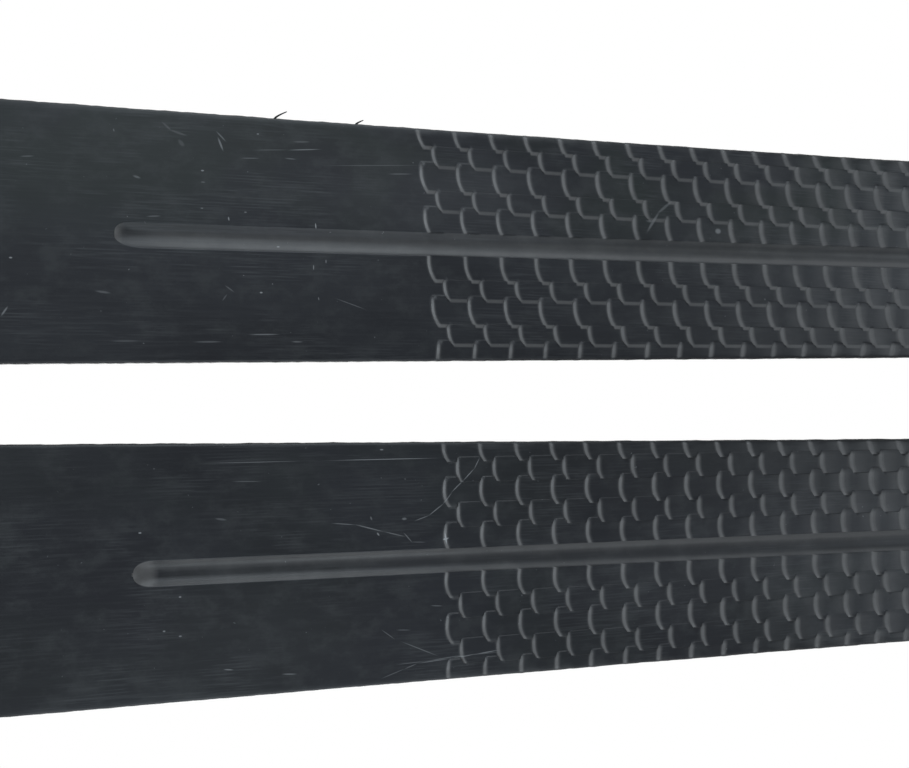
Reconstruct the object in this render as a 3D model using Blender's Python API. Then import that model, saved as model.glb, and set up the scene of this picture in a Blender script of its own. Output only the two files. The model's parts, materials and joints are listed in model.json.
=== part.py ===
"""A pair of cross-country skis with touring bindings, for Blender 4.5.

Metres, +X towards the tips, +Y to the skier's left, +Z up, with the origin on the ground in the
middle of the pair. Both skis stand on their bases, tails close together and tips a little apart.
Places along a ski are given as s, measured from its tail end.
"""

import math

import bmesh
import bpy
from mathutils import Matrix, Vector

# The pair
CENTRE_DISTANCE = 0.0633  # between the skis' centre lines, at the rear end of the grip zones
SPLAY = math.radians(0.55)  # between the two centre lines, tips apart
LEFT_AHEAD = 0.0031  # how far the left ski lies ahead of the right one
CLEARANCE = 0.0003  # between pieces that rest on or fit into each other

# Outline of a ski, seen from above
SKI_LENGTH = 1.900
TAIL_WIDTH = 0.0520
WAIST_WIDTH = 0.0445
SHOVEL_WIDTH = 0.0550
TAIL_WIDEST_AT = 0.115
WAIST_AT = 0.950
SHOVEL_BEHIND_TIP = 0.220
TAIL_TAPER = 0.0040
TIP_FULLNESS = 2.4
TIP_BLUNTNESS = 0.6
TIP_NOSE_WIDTH = 0.0050
TAIL_CORNER = 0.0090  # radius of the tail's corners

# Side view of a ski
REAR_CONTACT_AT = 0.105
FRONT_CONTACT_BEHIND_TIP = 0.245
CONTACT_LENGTH = 0.040
CAMBER = 0.024
TIP_RISE = 0.062
TAIL_RISE = 0.008
TAIL_THICKNESS = 0.0075
SEAT_THICKNESS = 0.0245  # at the rear edge of the binding's seat
TIP_THICKNESS = 0.0068
TIP_THINNING = 0.7  # share by which the square of the tip's thickness drops at its end
TAIL_THINNING = 0.35  # share by which the tail's thickness drops at its end
STATION_STEP = 0.076
TIP_STATION_STEP = 0.024

# Layers
BASE_THICKNESS = 0.0020
LAMINATE_THICKNESS = 0.0007
TOP_SHEET_THICKNESS = 0.0008
TOP_SHEET_CHAMFER = 0.0005
SIDEWALL_WIDTH = 0.0025
SIDE_LEAN = math.radians(4)  # the sides lean in as they rise from the base
TIP_PROTECTOR_LENGTH = 0.038
TAIL_PROTECTOR_LENGTH = 0.030
TIP_PROTECTOR_SHARES = (0, 0.25, 0.5, 0.7, 0.85, 0.95, 1)  # of its length, where its faces bend
TAIL_PROTECTOR_SHARES = (0, 0.06, 0.14, 0.3, 0.65, 1)
PROTECTOR_CHAMFER = 0.35  # share of half the protector's thickness

# Centre groove
GROOVE_LEAD = 0.063  # from its closed rear end to the grip zone
GROOVE_FRONT_BEHIND_TIP = 0.300
GROOVE_WIDTH = 0.0048
GROOVE_FLOOR_WIDTH = 0.0030
GROOVE_DEPTH = 0.0013
GROOVE_RUNOUT = 0.022
GROOVE_RUNOUT_SHARES = (0, 0.12, 0.45, 1)  # of the runout, where its faces bend

# Grip zone
GRIP_AT = 0.620
GRIP_LENGTH = 0.540
SCALE_PITCH = 0.00754
SCALE_STAGGER = 0.0028
SCALE_HEIGHT = 0.00045
LANE_PITCH = 0.0045
LANES_PER_SIDE = 4

# Binding, along the ski from the toe bar's axis, forward positive
BAR_AT = 0.905
BAR_RADIUS = 0.0020
BAR_HEIGHT = 0.0060  # over the housing's underside
SEAT_BEHIND_BAR = 0.020
SEAT_AHEAD_OF_BAR = 0.095
HOUSING_WIDTH = 0.0450
HOUSING_FLOOR = 0.0030
HOUSING_FRONT = 0.0880
HOUSING_NOSE_HEIGHT = 0.0065
HOUSING_NOSE_LENGTH = 0.0070
HOUSING_NOSE_SLOPE = 0.0028  # length of the slope on the nose's front
HOUSING_NOSE_LIP = 0.0039  # height of the slope's lower end
HOUSING_CORNER = 0.0040
TONGUE_MARGIN = 0.0030
SUNK = 0.0008  # how deep a raised form starts inside the form that carries it
CUT_MARGIN = 0.0010  # how far a cutter reaches past what it cuts
BORE_MARGIN = 0.0100
BORE_SIDES = 12
JAW_WIDTH = 0.0200
JAW_REAR = 0.0110  # behind the bar's axis
JAW_HEIGHT = 0.0075
JAW_INSET = 0.0010  # from the floor's rear edge
BAR_SLOT_WIDTH = 0.0058
CHEEK_THICKNESS = 0.0045
CHEEK_REAR = 0.0115
CHEEK_FRONT = 0.0560
CHEEK_HEIGHT = 0.0165
CHEEK_INSET = 0.0002  # from the floor's side edge
GUIDE_THICKNESS = 0.0025
GUIDE_HEIGHT = 0.0046  # over the housing's floor
GUIDE_BEHIND_NOSE = 0.0060
SPRING_STOP_THICKNESS = 0.0030
SPRING_STOP_OVERLAP = 0.0010  # into each guide
SPRING_STOP_DROP = 0.0002  # below the guides' tops
CLAW_WIDTH = 0.0100
CLAW_HEIGHT = 0.0042
CLAW_FRONT = 0.0500
CLAW_NECK = 0.0033
CLAW_HOOK_THICKNESS = 0.0026
CLAW_HOOK_OVER_BAR = 0.0006
CLAW_HOOK_PAST_BAR = 0.0002
CLAW_HOOK_BEVEL = 0.0008
CLAW_HOOK_LIP = 0.0012
CLAW_TRAVEL = 0.0075
PIN_AT = 0.0340
PIN_HEIGHT = 0.0120
PIN_RADIUS = 0.0015
LEVER_SWING = math.radians(70)
LEVER_WIDTH = 0.0340
LEVER_FRONT_WIDTH = 0.0270
LEVER_LENGTH = 0.0520
LEVER_BARREL_RADIUS = 0.0036
LEVER_BARREL_FROM = math.radians(80)
LEVER_BARREL_TURN = math.radians(200)
LEVER_BARREL_CORNERS = 9
LEVER_ROOT = 0.0020  # from the barrel to the underside's first bend
LEVER_ROOT_RISE = 0.0012
LEVER_THICKNESS = 0.0028
LEVER_END_THICKNESS = 0.0022
LEVER_END_SLOPE = 0.0012
LEVER_OVER_NOSE = 0.0008
LEVER_CREST = (0.35, 0.0050)  # share of the length, height of the upper face over the pin
LEVER_DIP = (0.75, 0.0028)
FINGER_WIDTH = 0.0052
FINGER_THICKNESS = 0.0024
FINGER_ROOT = 0.0010  # below the pin's axis
FINGER_END_CORNERS = 4
FINGER_PLAY = 0.0014  # in the claw's slot, each way along the ski
PIN_INSET = 0.0005  # from the cheeks' outer faces
SPRING_RADIUS = 0.0014
SPRING_WIRE = 0.0005
SPRING_CURLS = 7
SPRING_POINTS_PER_CURL = 8
FLEXOR_REAR = 0.0145
FLEXOR_LENGTH = 0.0125
FLEXOR_HEIGHT = 0.0120
FLEXOR_LEAN = 0.0030
FLEXOR_BEVEL = 0.0020
RAIL_PLATE_BEHIND_BAR = 0.0165
RAIL_PLATE_LENGTH = 0.2100
RAIL_PLATE_WIDTH = 0.0420
RAIL_PLATE_THICKNESS = 0.0025
RIDGE_HEIGHT = 0.0060
RIDGE_WIDTH = 0.0085
RIDGE_TOP_WIDTH = 0.0060
RIDGE_OFFSET = 0.0120
RIDGE_RAMP = 0.0120  # length over which a ridge rises from its end
RIDGE_END_SHARE = 0.55  # of its height, at its end
HEEL_PLATE_GAP = 0.0080
HEEL_PLATE_LENGTH = 0.0560
HEEL_PLATE_HEIGHT = 0.0085

# Screws
SCREW_HEAD_RADIUS = 0.0036
SCREW_HEAD_HEIGHT = 0.0020
SCREW_SHANK_RADIUS = 0.0018
SCREW_LENGTH = 0.0140
SCREW_SIDES = 10
SCREW_HOLE_OPEN = 0.0060  # how far a hole's cutter stands over the screw's head
TILT_REACH = 0.0040  # each way along the ski, for the slope of the top sheet under a screw
TOE_SCREW_FRONT = 0.0790  # ahead of the bar's axis
TOE_SCREW_PAIR = 0.0180
TOE_SCREW_SPACING = 0.0250

SHOVEL_AT = SKI_LENGTH - SHOVEL_BEHIND_TIP
FRONT_CONTACT_AT = SKI_LENGTH - FRONT_CONTACT_BEHIND_TIP
GROOVE_FRONT_AT = SKI_LENGTH - GROOVE_FRONT_BEHIND_TIP
GRIP_ROWS = int(GRIP_LENGTH / SCALE_PITCH)
GRIP_END = GRIP_AT + GRIP_ROWS * SCALE_PITCH
GROOVE_REAR_AT = GRIP_AT - GROOVE_LEAD
SEAT_FROM = BAR_AT - SEAT_BEHIND_BAR
SEAT_TO = BAR_AT + SEAT_AHEAD_OF_BAR
CAMBER_FROM = REAR_CONTACT_AT + CONTACT_LENGTH / 2
CAMBER_TO = FRONT_CONTACT_AT - CONTACT_LENGTH / 2
TAIL_END_OF_LAYERS = TAIL_PROTECTOR_LENGTH
TIP_END_OF_LAYERS = SKI_LENGTH - TIP_PROTECTOR_LENGTH

COLOURS = {
    "base_black": ((0.027, 0.032, 0.036), 0.42, 0.0),
    "glass_laminate": ((0.42, 0.40, 0.22), 0.50, 0.0),
    "core_wood": ((0.52, 0.36, 0.20), 0.70, 0.0),
    "sidewall_plastic": ((0.030, 0.030, 0.032), 0.45, 0.0),
    "top_sheet_red": ((0.42, 0.020, 0.022), 0.25, 0.0),
    "end_plastic": ((0.045, 0.045, 0.048), 0.50, 0.0),
    "binding_plastic": ((0.055, 0.057, 0.062), 0.45, 0.0),
    "lever_red": ((0.50, 0.025, 0.025), 0.35, 0.0),
    "steel": ((0.60, 0.61, 0.63), 0.28, 1.0),
    "flexor_rubber": ((0.020, 0.020, 0.021), 0.75, 0.0),
}


def ease(t):
    """From 0 to 1 as t goes from 0 to 1, level at both ends."""
    return (1 - math.cos(math.pi * min(max(t, 0), 1))) / 2


def outline_width(s):
    """Full width of the ski at s."""
    if s < TAIL_WIDEST_AT:
        return TAIL_WIDTH - TAIL_TAPER * (1 - s / TAIL_WIDEST_AT) ** 2
    if s < WAIST_AT:
        share = ease((WAIST_AT - s) / (WAIST_AT - TAIL_WIDEST_AT))
        return WAIST_WIDTH + (TAIL_WIDTH - WAIST_WIDTH) * share
    if s < SHOVEL_AT:
        share = ease((s - WAIST_AT) / (SHOVEL_AT - WAIST_AT))
        return WAIST_WIDTH + (SHOVEL_WIDTH - WAIST_WIDTH) * share
    reach = min((s - SHOVEL_AT) / (SKI_LENGTH - SHOVEL_AT), 1)
    return SHOVEL_WIDTH * (1 - reach**TIP_FULLNESS) ** TIP_BLUNTNESS


def base_line(s):
    """Height of the base's underside over the ground at s."""
    tail_lift_from = REAR_CONTACT_AT - CONTACT_LENGTH / 2
    tip_lift_from = FRONT_CONTACT_AT + CONTACT_LENGTH / 2
    if s < tail_lift_from:
        return TAIL_RISE * (1 - s / tail_lift_from) ** 2
    if s > tip_lift_from:
        return TIP_RISE * ((s - tip_lift_from) / (SKI_LENGTH - tip_lift_from)) ** 2
    along = (s - CAMBER_FROM) / (CAMBER_TO - CAMBER_FROM)
    if 0 < along < 1:
        return CAMBER * (1 - math.cos(2 * math.pi * along)) / 2
    return 0.0


def top_line(s):
    """Height of the top sheet's upper face over the ground at s; level under the toe housing."""
    seat_height = base_line(SEAT_FROM) + SEAT_THICKNESS
    if s < SEAT_FROM:
        share = ease((s - TAIL_PROTECTOR_LENGTH) / (SEAT_FROM - TAIL_PROTECTOR_LENGTH))
        return base_line(s) + TAIL_THICKNESS + (SEAT_THICKNESS - TAIL_THICKNESS) * share
    if s <= SEAT_TO:
        return seat_height
    front_thickness = seat_height - base_line(SEAT_TO)
    share = ease((s - SEAT_TO) / (SHOVEL_AT - SEAT_TO))
    return base_line(s) + front_thickness + (TIP_THICKNESS - front_thickness) * share


def evenly(start, end, step):
    """Places from start up to, but without, end, evenly spaced and about step apart."""
    count = max(1, round((end - start) / step))
    return [start + (end - start) * i / count for i in range(count)]


def layer_stations():
    """The places along the ski where the layers' faces bend."""
    places = [TAIL_END_OF_LAYERS, REAR_CONTACT_AT - CONTACT_LENGTH / 2]
    places += evenly(CAMBER_FROM, SEAT_FROM, STATION_STEP)
    places += evenly(SEAT_FROM, SEAT_TO, SEAT_TO - SEAT_FROM)
    places += evenly(SEAT_TO, CAMBER_TO, STATION_STEP)
    places += evenly(CAMBER_TO, FRONT_CONTACT_AT + CONTACT_LENGTH / 2, CONTACT_LENGTH)
    places += evenly(FRONT_CONTACT_AT + CONTACT_LENGTH / 2, TIP_END_OF_LAYERS, TIP_STATION_STEP)
    return places + [TIP_END_OF_LAYERS]


STATIONS = layer_stations()


def between_stations(function, s):
    """The value of a function at s, read on the straight line between the two stations around s."""
    for low, high in zip(STATIONS, STATIONS[1:]):
        if s <= high or high == STATIONS[-1]:
            share = (s - low) / (high - low)
            return function(low) * (1 - share) + function(high) * share


def half_width(s):
    return between_stations(outline_width, s) / 2


def base_height(s):
    return between_stations(base_line, s)


def top_height(s):
    return between_stations(top_line, s)


def side_place(s, z):
    """Distance of the ski's side from its centre line, at s and at a height above the base."""
    return half_width(s) - (z - base_height(s) - BASE_THICKNESS) * math.tan(SIDE_LEAN)


def local_x(s):
    """Place along the ski's own frame, whose origin is under the middle of its length."""
    return s - SKI_LENGTH / 2


def make_material(name):
    colour, roughness, metallic = COLOURS[name]
    material = bpy.data.materials.new(name)
    material.use_nodes = True
    shader = material.node_tree.nodes["Principled BSDF"]
    shader.inputs["Base Color"].default_value = (*colour, 1)
    shader.inputs["Roughness"].default_value = roughness
    shader.inputs["Metallic"].default_value = metallic
    material.diffuse_color = (*colour, 1)
    return material


def new_object(name, mesh, material, parent, location=(0, 0, 0), cutter=False):
    """Puts a mesh in the scene, as a piece of the object or as a cutter."""
    obj = bpy.data.objects.new(name, mesh)
    bpy.data.collections["cutters" if cutter else "cross_country_skis"].objects.link(obj)
    obj.parent = parent
    obj.location = location
    if material:
        mesh.materials.append(bpy.data.materials[material])
    if cutter:
        obj.hide_render = True
        obj.display_type = "WIRE"
    return obj


def finished_mesh(name, bm):
    """The mesh of a closed bmesh, with its faces turned outwards."""
    bmesh.ops.recalc_face_normals(bm, faces=bm.faces)
    mesh = bpy.data.meshes.new(name)
    bm.to_mesh(mesh)
    bm.free()
    return mesh


def loft_mesh(name, sections):
    """A closed mesh through sections that all have the same number of corners."""
    bm = bmesh.new()
    rings = [[bm.verts.new(corner) for corner in section] for section in sections]
    for ring, following in zip(rings, rings[1:]):
        for i in range(len(ring)):
            j = (i + 1) % len(ring)
            bm.faces.new((ring[i], ring[j], following[j], following[i]))
    bm.faces.new(rings[0])
    bm.faces.new(rings[-1])
    return finished_mesh(name, bm)


def prism_mesh(name, profile, half_width_at):
    """A closed mesh from an (x, z) outline, as wide each way from y = 0 as half_width_at(x) says."""
    return loft_mesh(
        name,
        [[(x, side * half_width_at(x), z) for x, z in profile] for side in (-1, 1)],
    )


def box_mesh(name, low, high):
    """A closed box between two corners."""
    bm = bmesh.new()
    size = Vector(high) - Vector(low)
    matrix = Matrix.Translation((Vector(high) + Vector(low)) / 2) @ Matrix.Diagonal((*size, 1))
    bmesh.ops.create_cube(bm, size=1, matrix=matrix)
    return finished_mesh(name, bm)


def plate_mesh(name, outline, z_low, z_high):
    """A closed plate between two heights, from an (x, y) outline."""
    return loft_mesh(name, [[(x, y, z) for x, y in outline] for z in (z_low, z_high)])


def rod_mesh(name, radius, length):
    """A closed cylinder along Y, centred on the origin."""
    bm = bmesh.new()
    bmesh.ops.create_cone(
        bm,
        cap_ends=True,
        segments=BORE_SIDES,
        radius1=radius,
        radius2=radius,
        depth=length,
        matrix=Matrix.Rotation(math.pi / 2, 4, "X"),
    )
    return finished_mesh(name, bm)


def add_boolean(target, tool, operation="DIFFERENCE"):
    modifier = target.modifiers.new(tool.name, "BOOLEAN")
    modifier.operation = operation
    modifier.object = tool


def layer(name, ski, material, section_at):
    """A ski layer lofted along all stations; section_at(s) gives its corners as (y, z)."""
    sections = [[(local_x(s), y, z) for y, z in section_at(s)] for s in STATIONS]
    return new_object(name, loft_mesh(name, sections), material, ski)


def slab_section(s, low, high, inset=0.0):
    """Corners of a layer between two heights, whose edges lie inset from the ski's sides."""
    half_low = side_place(s, low) - inset
    half_high = side_place(s, high) - inset
    return [(-half_low, low), (half_low, low), (half_high, high), (-half_high, high)]


def lower_laminate_bottom(s):
    return base_height(s) + BASE_THICKNESS + CLEARANCE


def core_bottom(s):
    return lower_laminate_bottom(s) + LAMINATE_THICKNESS + CLEARANCE


def upper_laminate_bottom(s):
    return top_height(s) - TOP_SHEET_THICKNESS - CLEARANCE - LAMINATE_THICKNESS


def core_top(s):
    return upper_laminate_bottom(s) - CLEARANCE


def groove_section(s):
    """The groove's corners at s as (y, depth), or none outside it; its ends are spoon shaped."""
    from_end = min(s - GROOVE_REAR_AT, GROOVE_FRONT_AT - s)
    if from_end <= 0:
        return []
    share = math.sqrt(1 - (1 - min(from_end / GROOVE_RUNOUT, 1)) ** 2)
    lip = GROOVE_WIDTH / 2 * share
    floor = GROOVE_FLOOR_WIDTH / 2 * share
    depth = GROOVE_DEPTH * share
    return [(-lip, 0.0), (-floor, depth), (floor, depth), (lip, 0.0)]


def base_rib(s, lanes=False, stagger=0.0, raised=0.0):
    """One line of corners across the base's underside at s, from its right edge to its left edge.

    With lanes, the lanes of the grip zone have their own corners, and every other lane's lie
    further forward by stagger. raised lowers all corners outside the groove, because a scale
    stands out of the base.
    """
    corners = [(side * half_width(s), 0.0, 0.0) for side in (-1, 1)]
    corners += [(y, depth, 0.0) for y, depth in groove_section(s)]
    if lanes:
        for lane in range(1, LANES_PER_SIDE):
            y = (lane + 1) * LANE_PITCH
            forward = 0.0 if lane % 2 == 0 else stagger
            corners += [(-y, 0.0, forward), (y, 0.0, forward)]
    points = []
    for y, depth, forward in sorted(corners):
        place = s + forward
        stands_out = raised if depth == 0 else 0.0
        points.append((local_x(place), y, base_height(place) + depth - stands_out))
    return points


def base_ribs():
    """All lines of corners along the base, from tail to tip."""
    edge_of_grip = SCALE_PITCH / 2
    groove_steps = [GROOVE_RUNOUT * share for share in GROOVE_RUNOUT_SHARES]
    plain = [s for s in STATIONS if not GRIP_AT - edge_of_grip <= s <= GRIP_END + SCALE_PITCH]
    plain += [GROOVE_REAR_AT + step for step in groove_steps]
    plain += [GROOVE_FRONT_AT - step for step in groove_steps]
    ribs = [(s, base_rib(s)) for s in plain]
    for s in (GRIP_AT - edge_of_grip, GRIP_END + SCALE_PITCH):
        ribs.append((s, base_rib(s, True)))
    for row in range(GRIP_ROWS):
        s = GRIP_AT + row * SCALE_PITCH
        ribs.append((s, base_rib(s, True, SCALE_STAGGER)))
        ribs.append((s, base_rib(s, True, SCALE_STAGGER, SCALE_HEIGHT)))
    ribs.append((GRIP_END, base_rib(GRIP_END, True, SCALE_STAGGER)))
    return [rib for _, rib in sorted(ribs, key=lambda pair: pair[0])]


def running_base_mesh(name):
    """The base: flat above, and below it the groove and the rows of scales."""
    bm = bmesh.new()
    made = {}

    def vertex(point):
        key = tuple(round(value, 7) for value in point)
        if key not in made:
            made[key] = bm.verts.new(point)
        return made[key]

    def face(*corners):
        kept = [corner for i, corner in enumerate(corners) if corner is not corners[i - 1]]
        if len(kept) > 2:
            bm.faces.new(kept)

    def above(point):
        x, y, _ = point
        return vertex((x, y, base_height(x + SKI_LENGTH / 2) + BASE_THICKNESS))

    def strip(line, following):
        """Faces between two lines of corners, both in order of y."""
        if len(line) == len(following):
            for i in range(len(line) - 1):
                face(*map(vertex, (line[i], line[i + 1], following[i + 1], following[i])))
            return
        i = j = 0
        while i < len(line) - 1 or j < len(following) - 1:
            last_of_line = i == len(line) - 1
            if last_of_line or (j < len(following) - 1 and following[j + 1][1] < line[i + 1][1]):
                face(*map(vertex, (line[i], following[j + 1], following[j])))
                j += 1
            else:
                face(*map(vertex, (line[i], line[i + 1], following[j])))
                i += 1

    ribs = base_ribs()
    for rib, following in zip(ribs, ribs[1:]):
        strip(rib, following)
        face(above(rib[0]), above(rib[-1]), above(following[-1]), above(following[0]))
        for end in (0, -1):
            face(vertex(rib[end]), vertex(following[end]), above(following[end]), above(rib[end]))
    for rib in (ribs[0], ribs[-1]):
        face(*[vertex(point) for point in rib], above(rib[-1]), above(rib[0]))
    return finished_mesh(name, bm)


def make_ski_layers(side, ski):
    """The nine pieces of a ski's body; the screw holes are cut later."""

    def sidewall(sign):
        def section(s):
            low, high = core_bottom(s), core_top(s)
            outer_low, outer_high = side_place(s, low), side_place(s, high)
            return [
                (sign * (outer_low - SIDEWALL_WIDTH), low),
                (sign * outer_low, low),
                (sign * outer_high, high),
                (sign * (outer_high - SIDEWALL_WIDTH), high),
            ]

        return section

    def top_sheet_section(s):
        top = top_height(s)
        shoulder = top - TOP_SHEET_CHAMFER
        inner = side_place(s, top) - TOP_SHEET_CHAMFER
        right_low, left_low, left_high, right_high = slab_section(s, top - TOP_SHEET_THICKNESS, shoulder)
        return [right_low, left_low, left_high, (inner, top), (-inner, top), right_high]

    def laminate(bottom):
        def section(s):
            low = bottom(s)
            return slab_section(s, low, low + LAMINATE_THICKNESS)

        return section

    def core_section(s):
        return slab_section(s, core_bottom(s), core_top(s), SIDEWALL_WIDTH + CLEARANCE)

    outer_sign = 1 if side == "left" else -1
    name = f"{side}_running_base"
    new_object(name, running_base_mesh(name), "base_black", ski)
    layer(f"{side}_lower_laminate", ski, "glass_laminate", laminate(lower_laminate_bottom))
    drilled = [
        layer(f"{side}_core", ski, "core_wood", core_section),
        layer(f"{side}_upper_laminate", ski, "glass_laminate", laminate(upper_laminate_bottom)),
        layer(f"{side}_top_sheet", ski, "top_sheet_red", top_sheet_section),
    ]
    layer(f"{side}_sidewall_outer", ski, "sidewall_plastic", sidewall(outer_sign))
    layer(f"{side}_sidewall_inner", ski, "sidewall_plastic", sidewall(-outer_sign))
    make_end_piece(f"{side}_tip_protector", ski, tip_protector_places())
    make_end_piece(f"{side}_tail_protector", ski, tail_protector_places())
    return drilled


def tip_protector_places():
    """(s, half width, thickness share) along the tip protector."""
    start = TIP_END_OF_LAYERS + CLEARANCE
    places = []
    for share in TIP_PROTECTOR_SHARES:
        s = start + (SKI_LENGTH - start) * share
        half = max(outline_width(s), TIP_NOSE_WIDTH) / 2
        places.append((s, half, math.sqrt(1 - TIP_THINNING * share**3)))
    return places


def tail_protector_places():
    """(s, half width, thickness share) along the tail protector, whose corners are round."""
    length = TAIL_END_OF_LAYERS - CLEARANCE
    places = []
    for share in TAIL_PROTECTOR_SHARES:
        s = length * share
        to_corner = 1 - min(s / TAIL_CORNER, 1)
        lost = TAIL_CORNER * (1 - math.sqrt(1 - to_corner**2))
        places.append((s, outline_width(s) / 2 - lost, 1 - TAIL_THINNING * to_corner**2))
    return places


def make_end_piece(name, ski, places):
    """A moulded end with chamfered edges, as high as the ski's layers where it meets them."""
    sections = []
    for s, half, share in places:
        middle = (base_line(s) + top_line(s)) / 2
        rise = (top_line(s) - base_line(s)) / 2 * share
        chamfer = PROTECTOR_CHAMFER * min(rise, half)
        upper_half = half - 2 * rise * math.tan(SIDE_LEAN)
        left = [
            (half - chamfer, middle - rise),
            (half, middle - rise + chamfer),
            (upper_half, middle + rise - chamfer),
            (upper_half - chamfer, middle + rise),
        ]
        outline = left + [(-y, z) for y, z in reversed(left)]
        sections.append([(local_x(s), y, z) for y, z in outline])
    return new_object(name, loft_mesh(name, sections), "end_plastic", ski)


def top_frame(s, y=0.0, lift=0.0):
    """Matrix of a place on the top sheet at s: its Z is square to the sheet there."""
    rise = top_height(s + TILT_REACH) - top_height(s - TILT_REACH)
    tilt = -math.atan2(rise, 2 * TILT_REACH)
    place = Matrix.Translation((local_x(s), y, top_height(s)))
    return place @ Matrix.Rotation(tilt, 4, "Y") @ Matrix.Translation((0, 0, lift))


def screw_profile(extra):
    """Corners of a countersunk screw as (radius, height) from its head down, grown by extra."""
    head = SCREW_HEAD_RADIUS + extra
    shank = SCREW_SHANK_RADIUS + extra
    return [
        (head, -extra),
        (shank, -SCREW_HEAD_HEIGHT - extra),
        (shank, -SCREW_LENGTH - extra),
    ]


def turned_mesh(name, profile, matrix):
    """A closed solid of revolution about Z, through (radius, height) corners from top to bottom."""
    bm = bmesh.new()
    rings = []
    for radius, height in profile:
        corners = []
        for i in range(SCREW_SIDES):
            angle = 2 * math.pi * i / SCREW_SIDES
            corners.append(bm.verts.new((radius * math.cos(angle), radius * math.sin(angle), height)))
        rings.append(corners)
    for ring, following in zip(rings, rings[1:]):
        for i in range(SCREW_SIDES):
            j = (i + 1) % SCREW_SIDES
            bm.faces.new((ring[i], ring[j], following[j], following[i]))
    bm.faces.new(rings[0])
    bm.faces.new(rings[-1])
    bmesh.ops.transform(bm, matrix=matrix, verts=bm.verts)
    return finished_mesh(name, bm)


def make_screws(side, ski):
    """The binding's screws and one cutter for all their holes, returned."""
    floor = CLEARANCE + HOUSING_FLOOR
    plate = CLEARANCE + RAIL_PLATE_THICKNESS
    rail_screw_at = BAR_AT - RAIL_PLATE_BEHIND_BAR - RAIL_PLATE_LENGTH / 2
    heel_screw_at = heel_plate_rear() + HEEL_PLATE_LENGTH / 2
    places = {
        "toe_screw_front": top_frame(BAR_AT + TOE_SCREW_FRONT, 0, floor),
        "toe_screw_left": top_frame(BAR_AT + TOE_SCREW_PAIR, TOE_SCREW_SPACING / 2, floor),
        "toe_screw_right": top_frame(BAR_AT + TOE_SCREW_PAIR, -TOE_SCREW_SPACING / 2, floor),
        "rail_screw": top_frame(rail_screw_at, 0, plate),
        "heel_screw": top_frame(heel_screw_at, 0, plate),
    }
    holes = bmesh.new()
    for name, matrix in places.items():
        screw = turned_mesh(f"{side}_{name}", screw_profile(0), matrix)
        new_object(screw.name, screw, "steel", ski)
        hole = [(SCREW_HEAD_RADIUS + CLEARANCE, SCREW_HOLE_OPEN)] + screw_profile(CLEARANCE)
        holes.from_mesh(turned_mesh("hole", hole, matrix))
    mesh = finished_mesh(f"{side}_screw_holes", holes)
    return new_object(mesh.name, mesh, None, ski, cutter=True)


def heel_plate_rear():
    """s of the heel plate's rear end."""
    rail_rear = BAR_AT - RAIL_PLATE_BEHIND_BAR - RAIL_PLATE_LENGTH
    return rail_rear - HEEL_PLATE_GAP - HEEL_PLATE_LENGTH


def plate_section(s, thickness, ridge_height):
    """Corners of a plate with two guide ridges, on the top sheet at s."""
    bottom = top_height(s) + CLEARANCE
    top = bottom + thickness
    ridge = bottom + ridge_height
    half = RAIL_PLATE_WIDTH / 2
    corners = [(-half, bottom), (half, bottom), (half, top)]
    for centre in (RIDGE_OFFSET, -RIDGE_OFFSET):
        corners += [
            (centre + RIDGE_WIDTH / 2, top),
            (centre + RIDGE_TOP_WIDTH / 2, ridge),
            (centre - RIDGE_TOP_WIDTH / 2, ridge),
            (centre - RIDGE_WIDTH / 2, top),
        ]
    return [(local_x(s), y, z) for y, z in corners + [(-half, top)]]


def make_plates(side, ski):
    """The rail plate and the heel plate, which follow the curve of the ski's top."""
    rail_front = BAR_AT - RAIL_PLATE_BEHIND_BAR
    rail_rear = rail_front - RAIL_PLATE_LENGTH
    heel_rear = heel_plate_rear()
    plates = []
    for name, rear, front, height in (
        ("rail_plate", rail_rear, rail_front, RAIL_PLATE_THICKNESS + RIDGE_HEIGHT),
        ("heel_plate", heel_rear, heel_rear + HEEL_PLATE_LENGTH, HEEL_PLATE_HEIGHT),
    ):
        full_from, full_to = rear + RIDGE_RAMP, front - RIDGE_RAMP
        inner = [s for s in STATIONS if full_from < s < full_to]
        places = [rear, full_from] + inner + [full_to, front]
        end_height = height * RIDGE_END_SHARE
        heights = [end_height] + [height] * (len(places) - 2) + [end_height]
        sections = [
            plate_section(s, RAIL_PLATE_THICKNESS, ridge) for s, ridge in zip(places, heights)
        ]
        full_name = f"{side}_{name}"
        plates.append(new_object(full_name, loft_mesh(full_name, sections), "binding_plastic", ski))
    return plates


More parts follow.
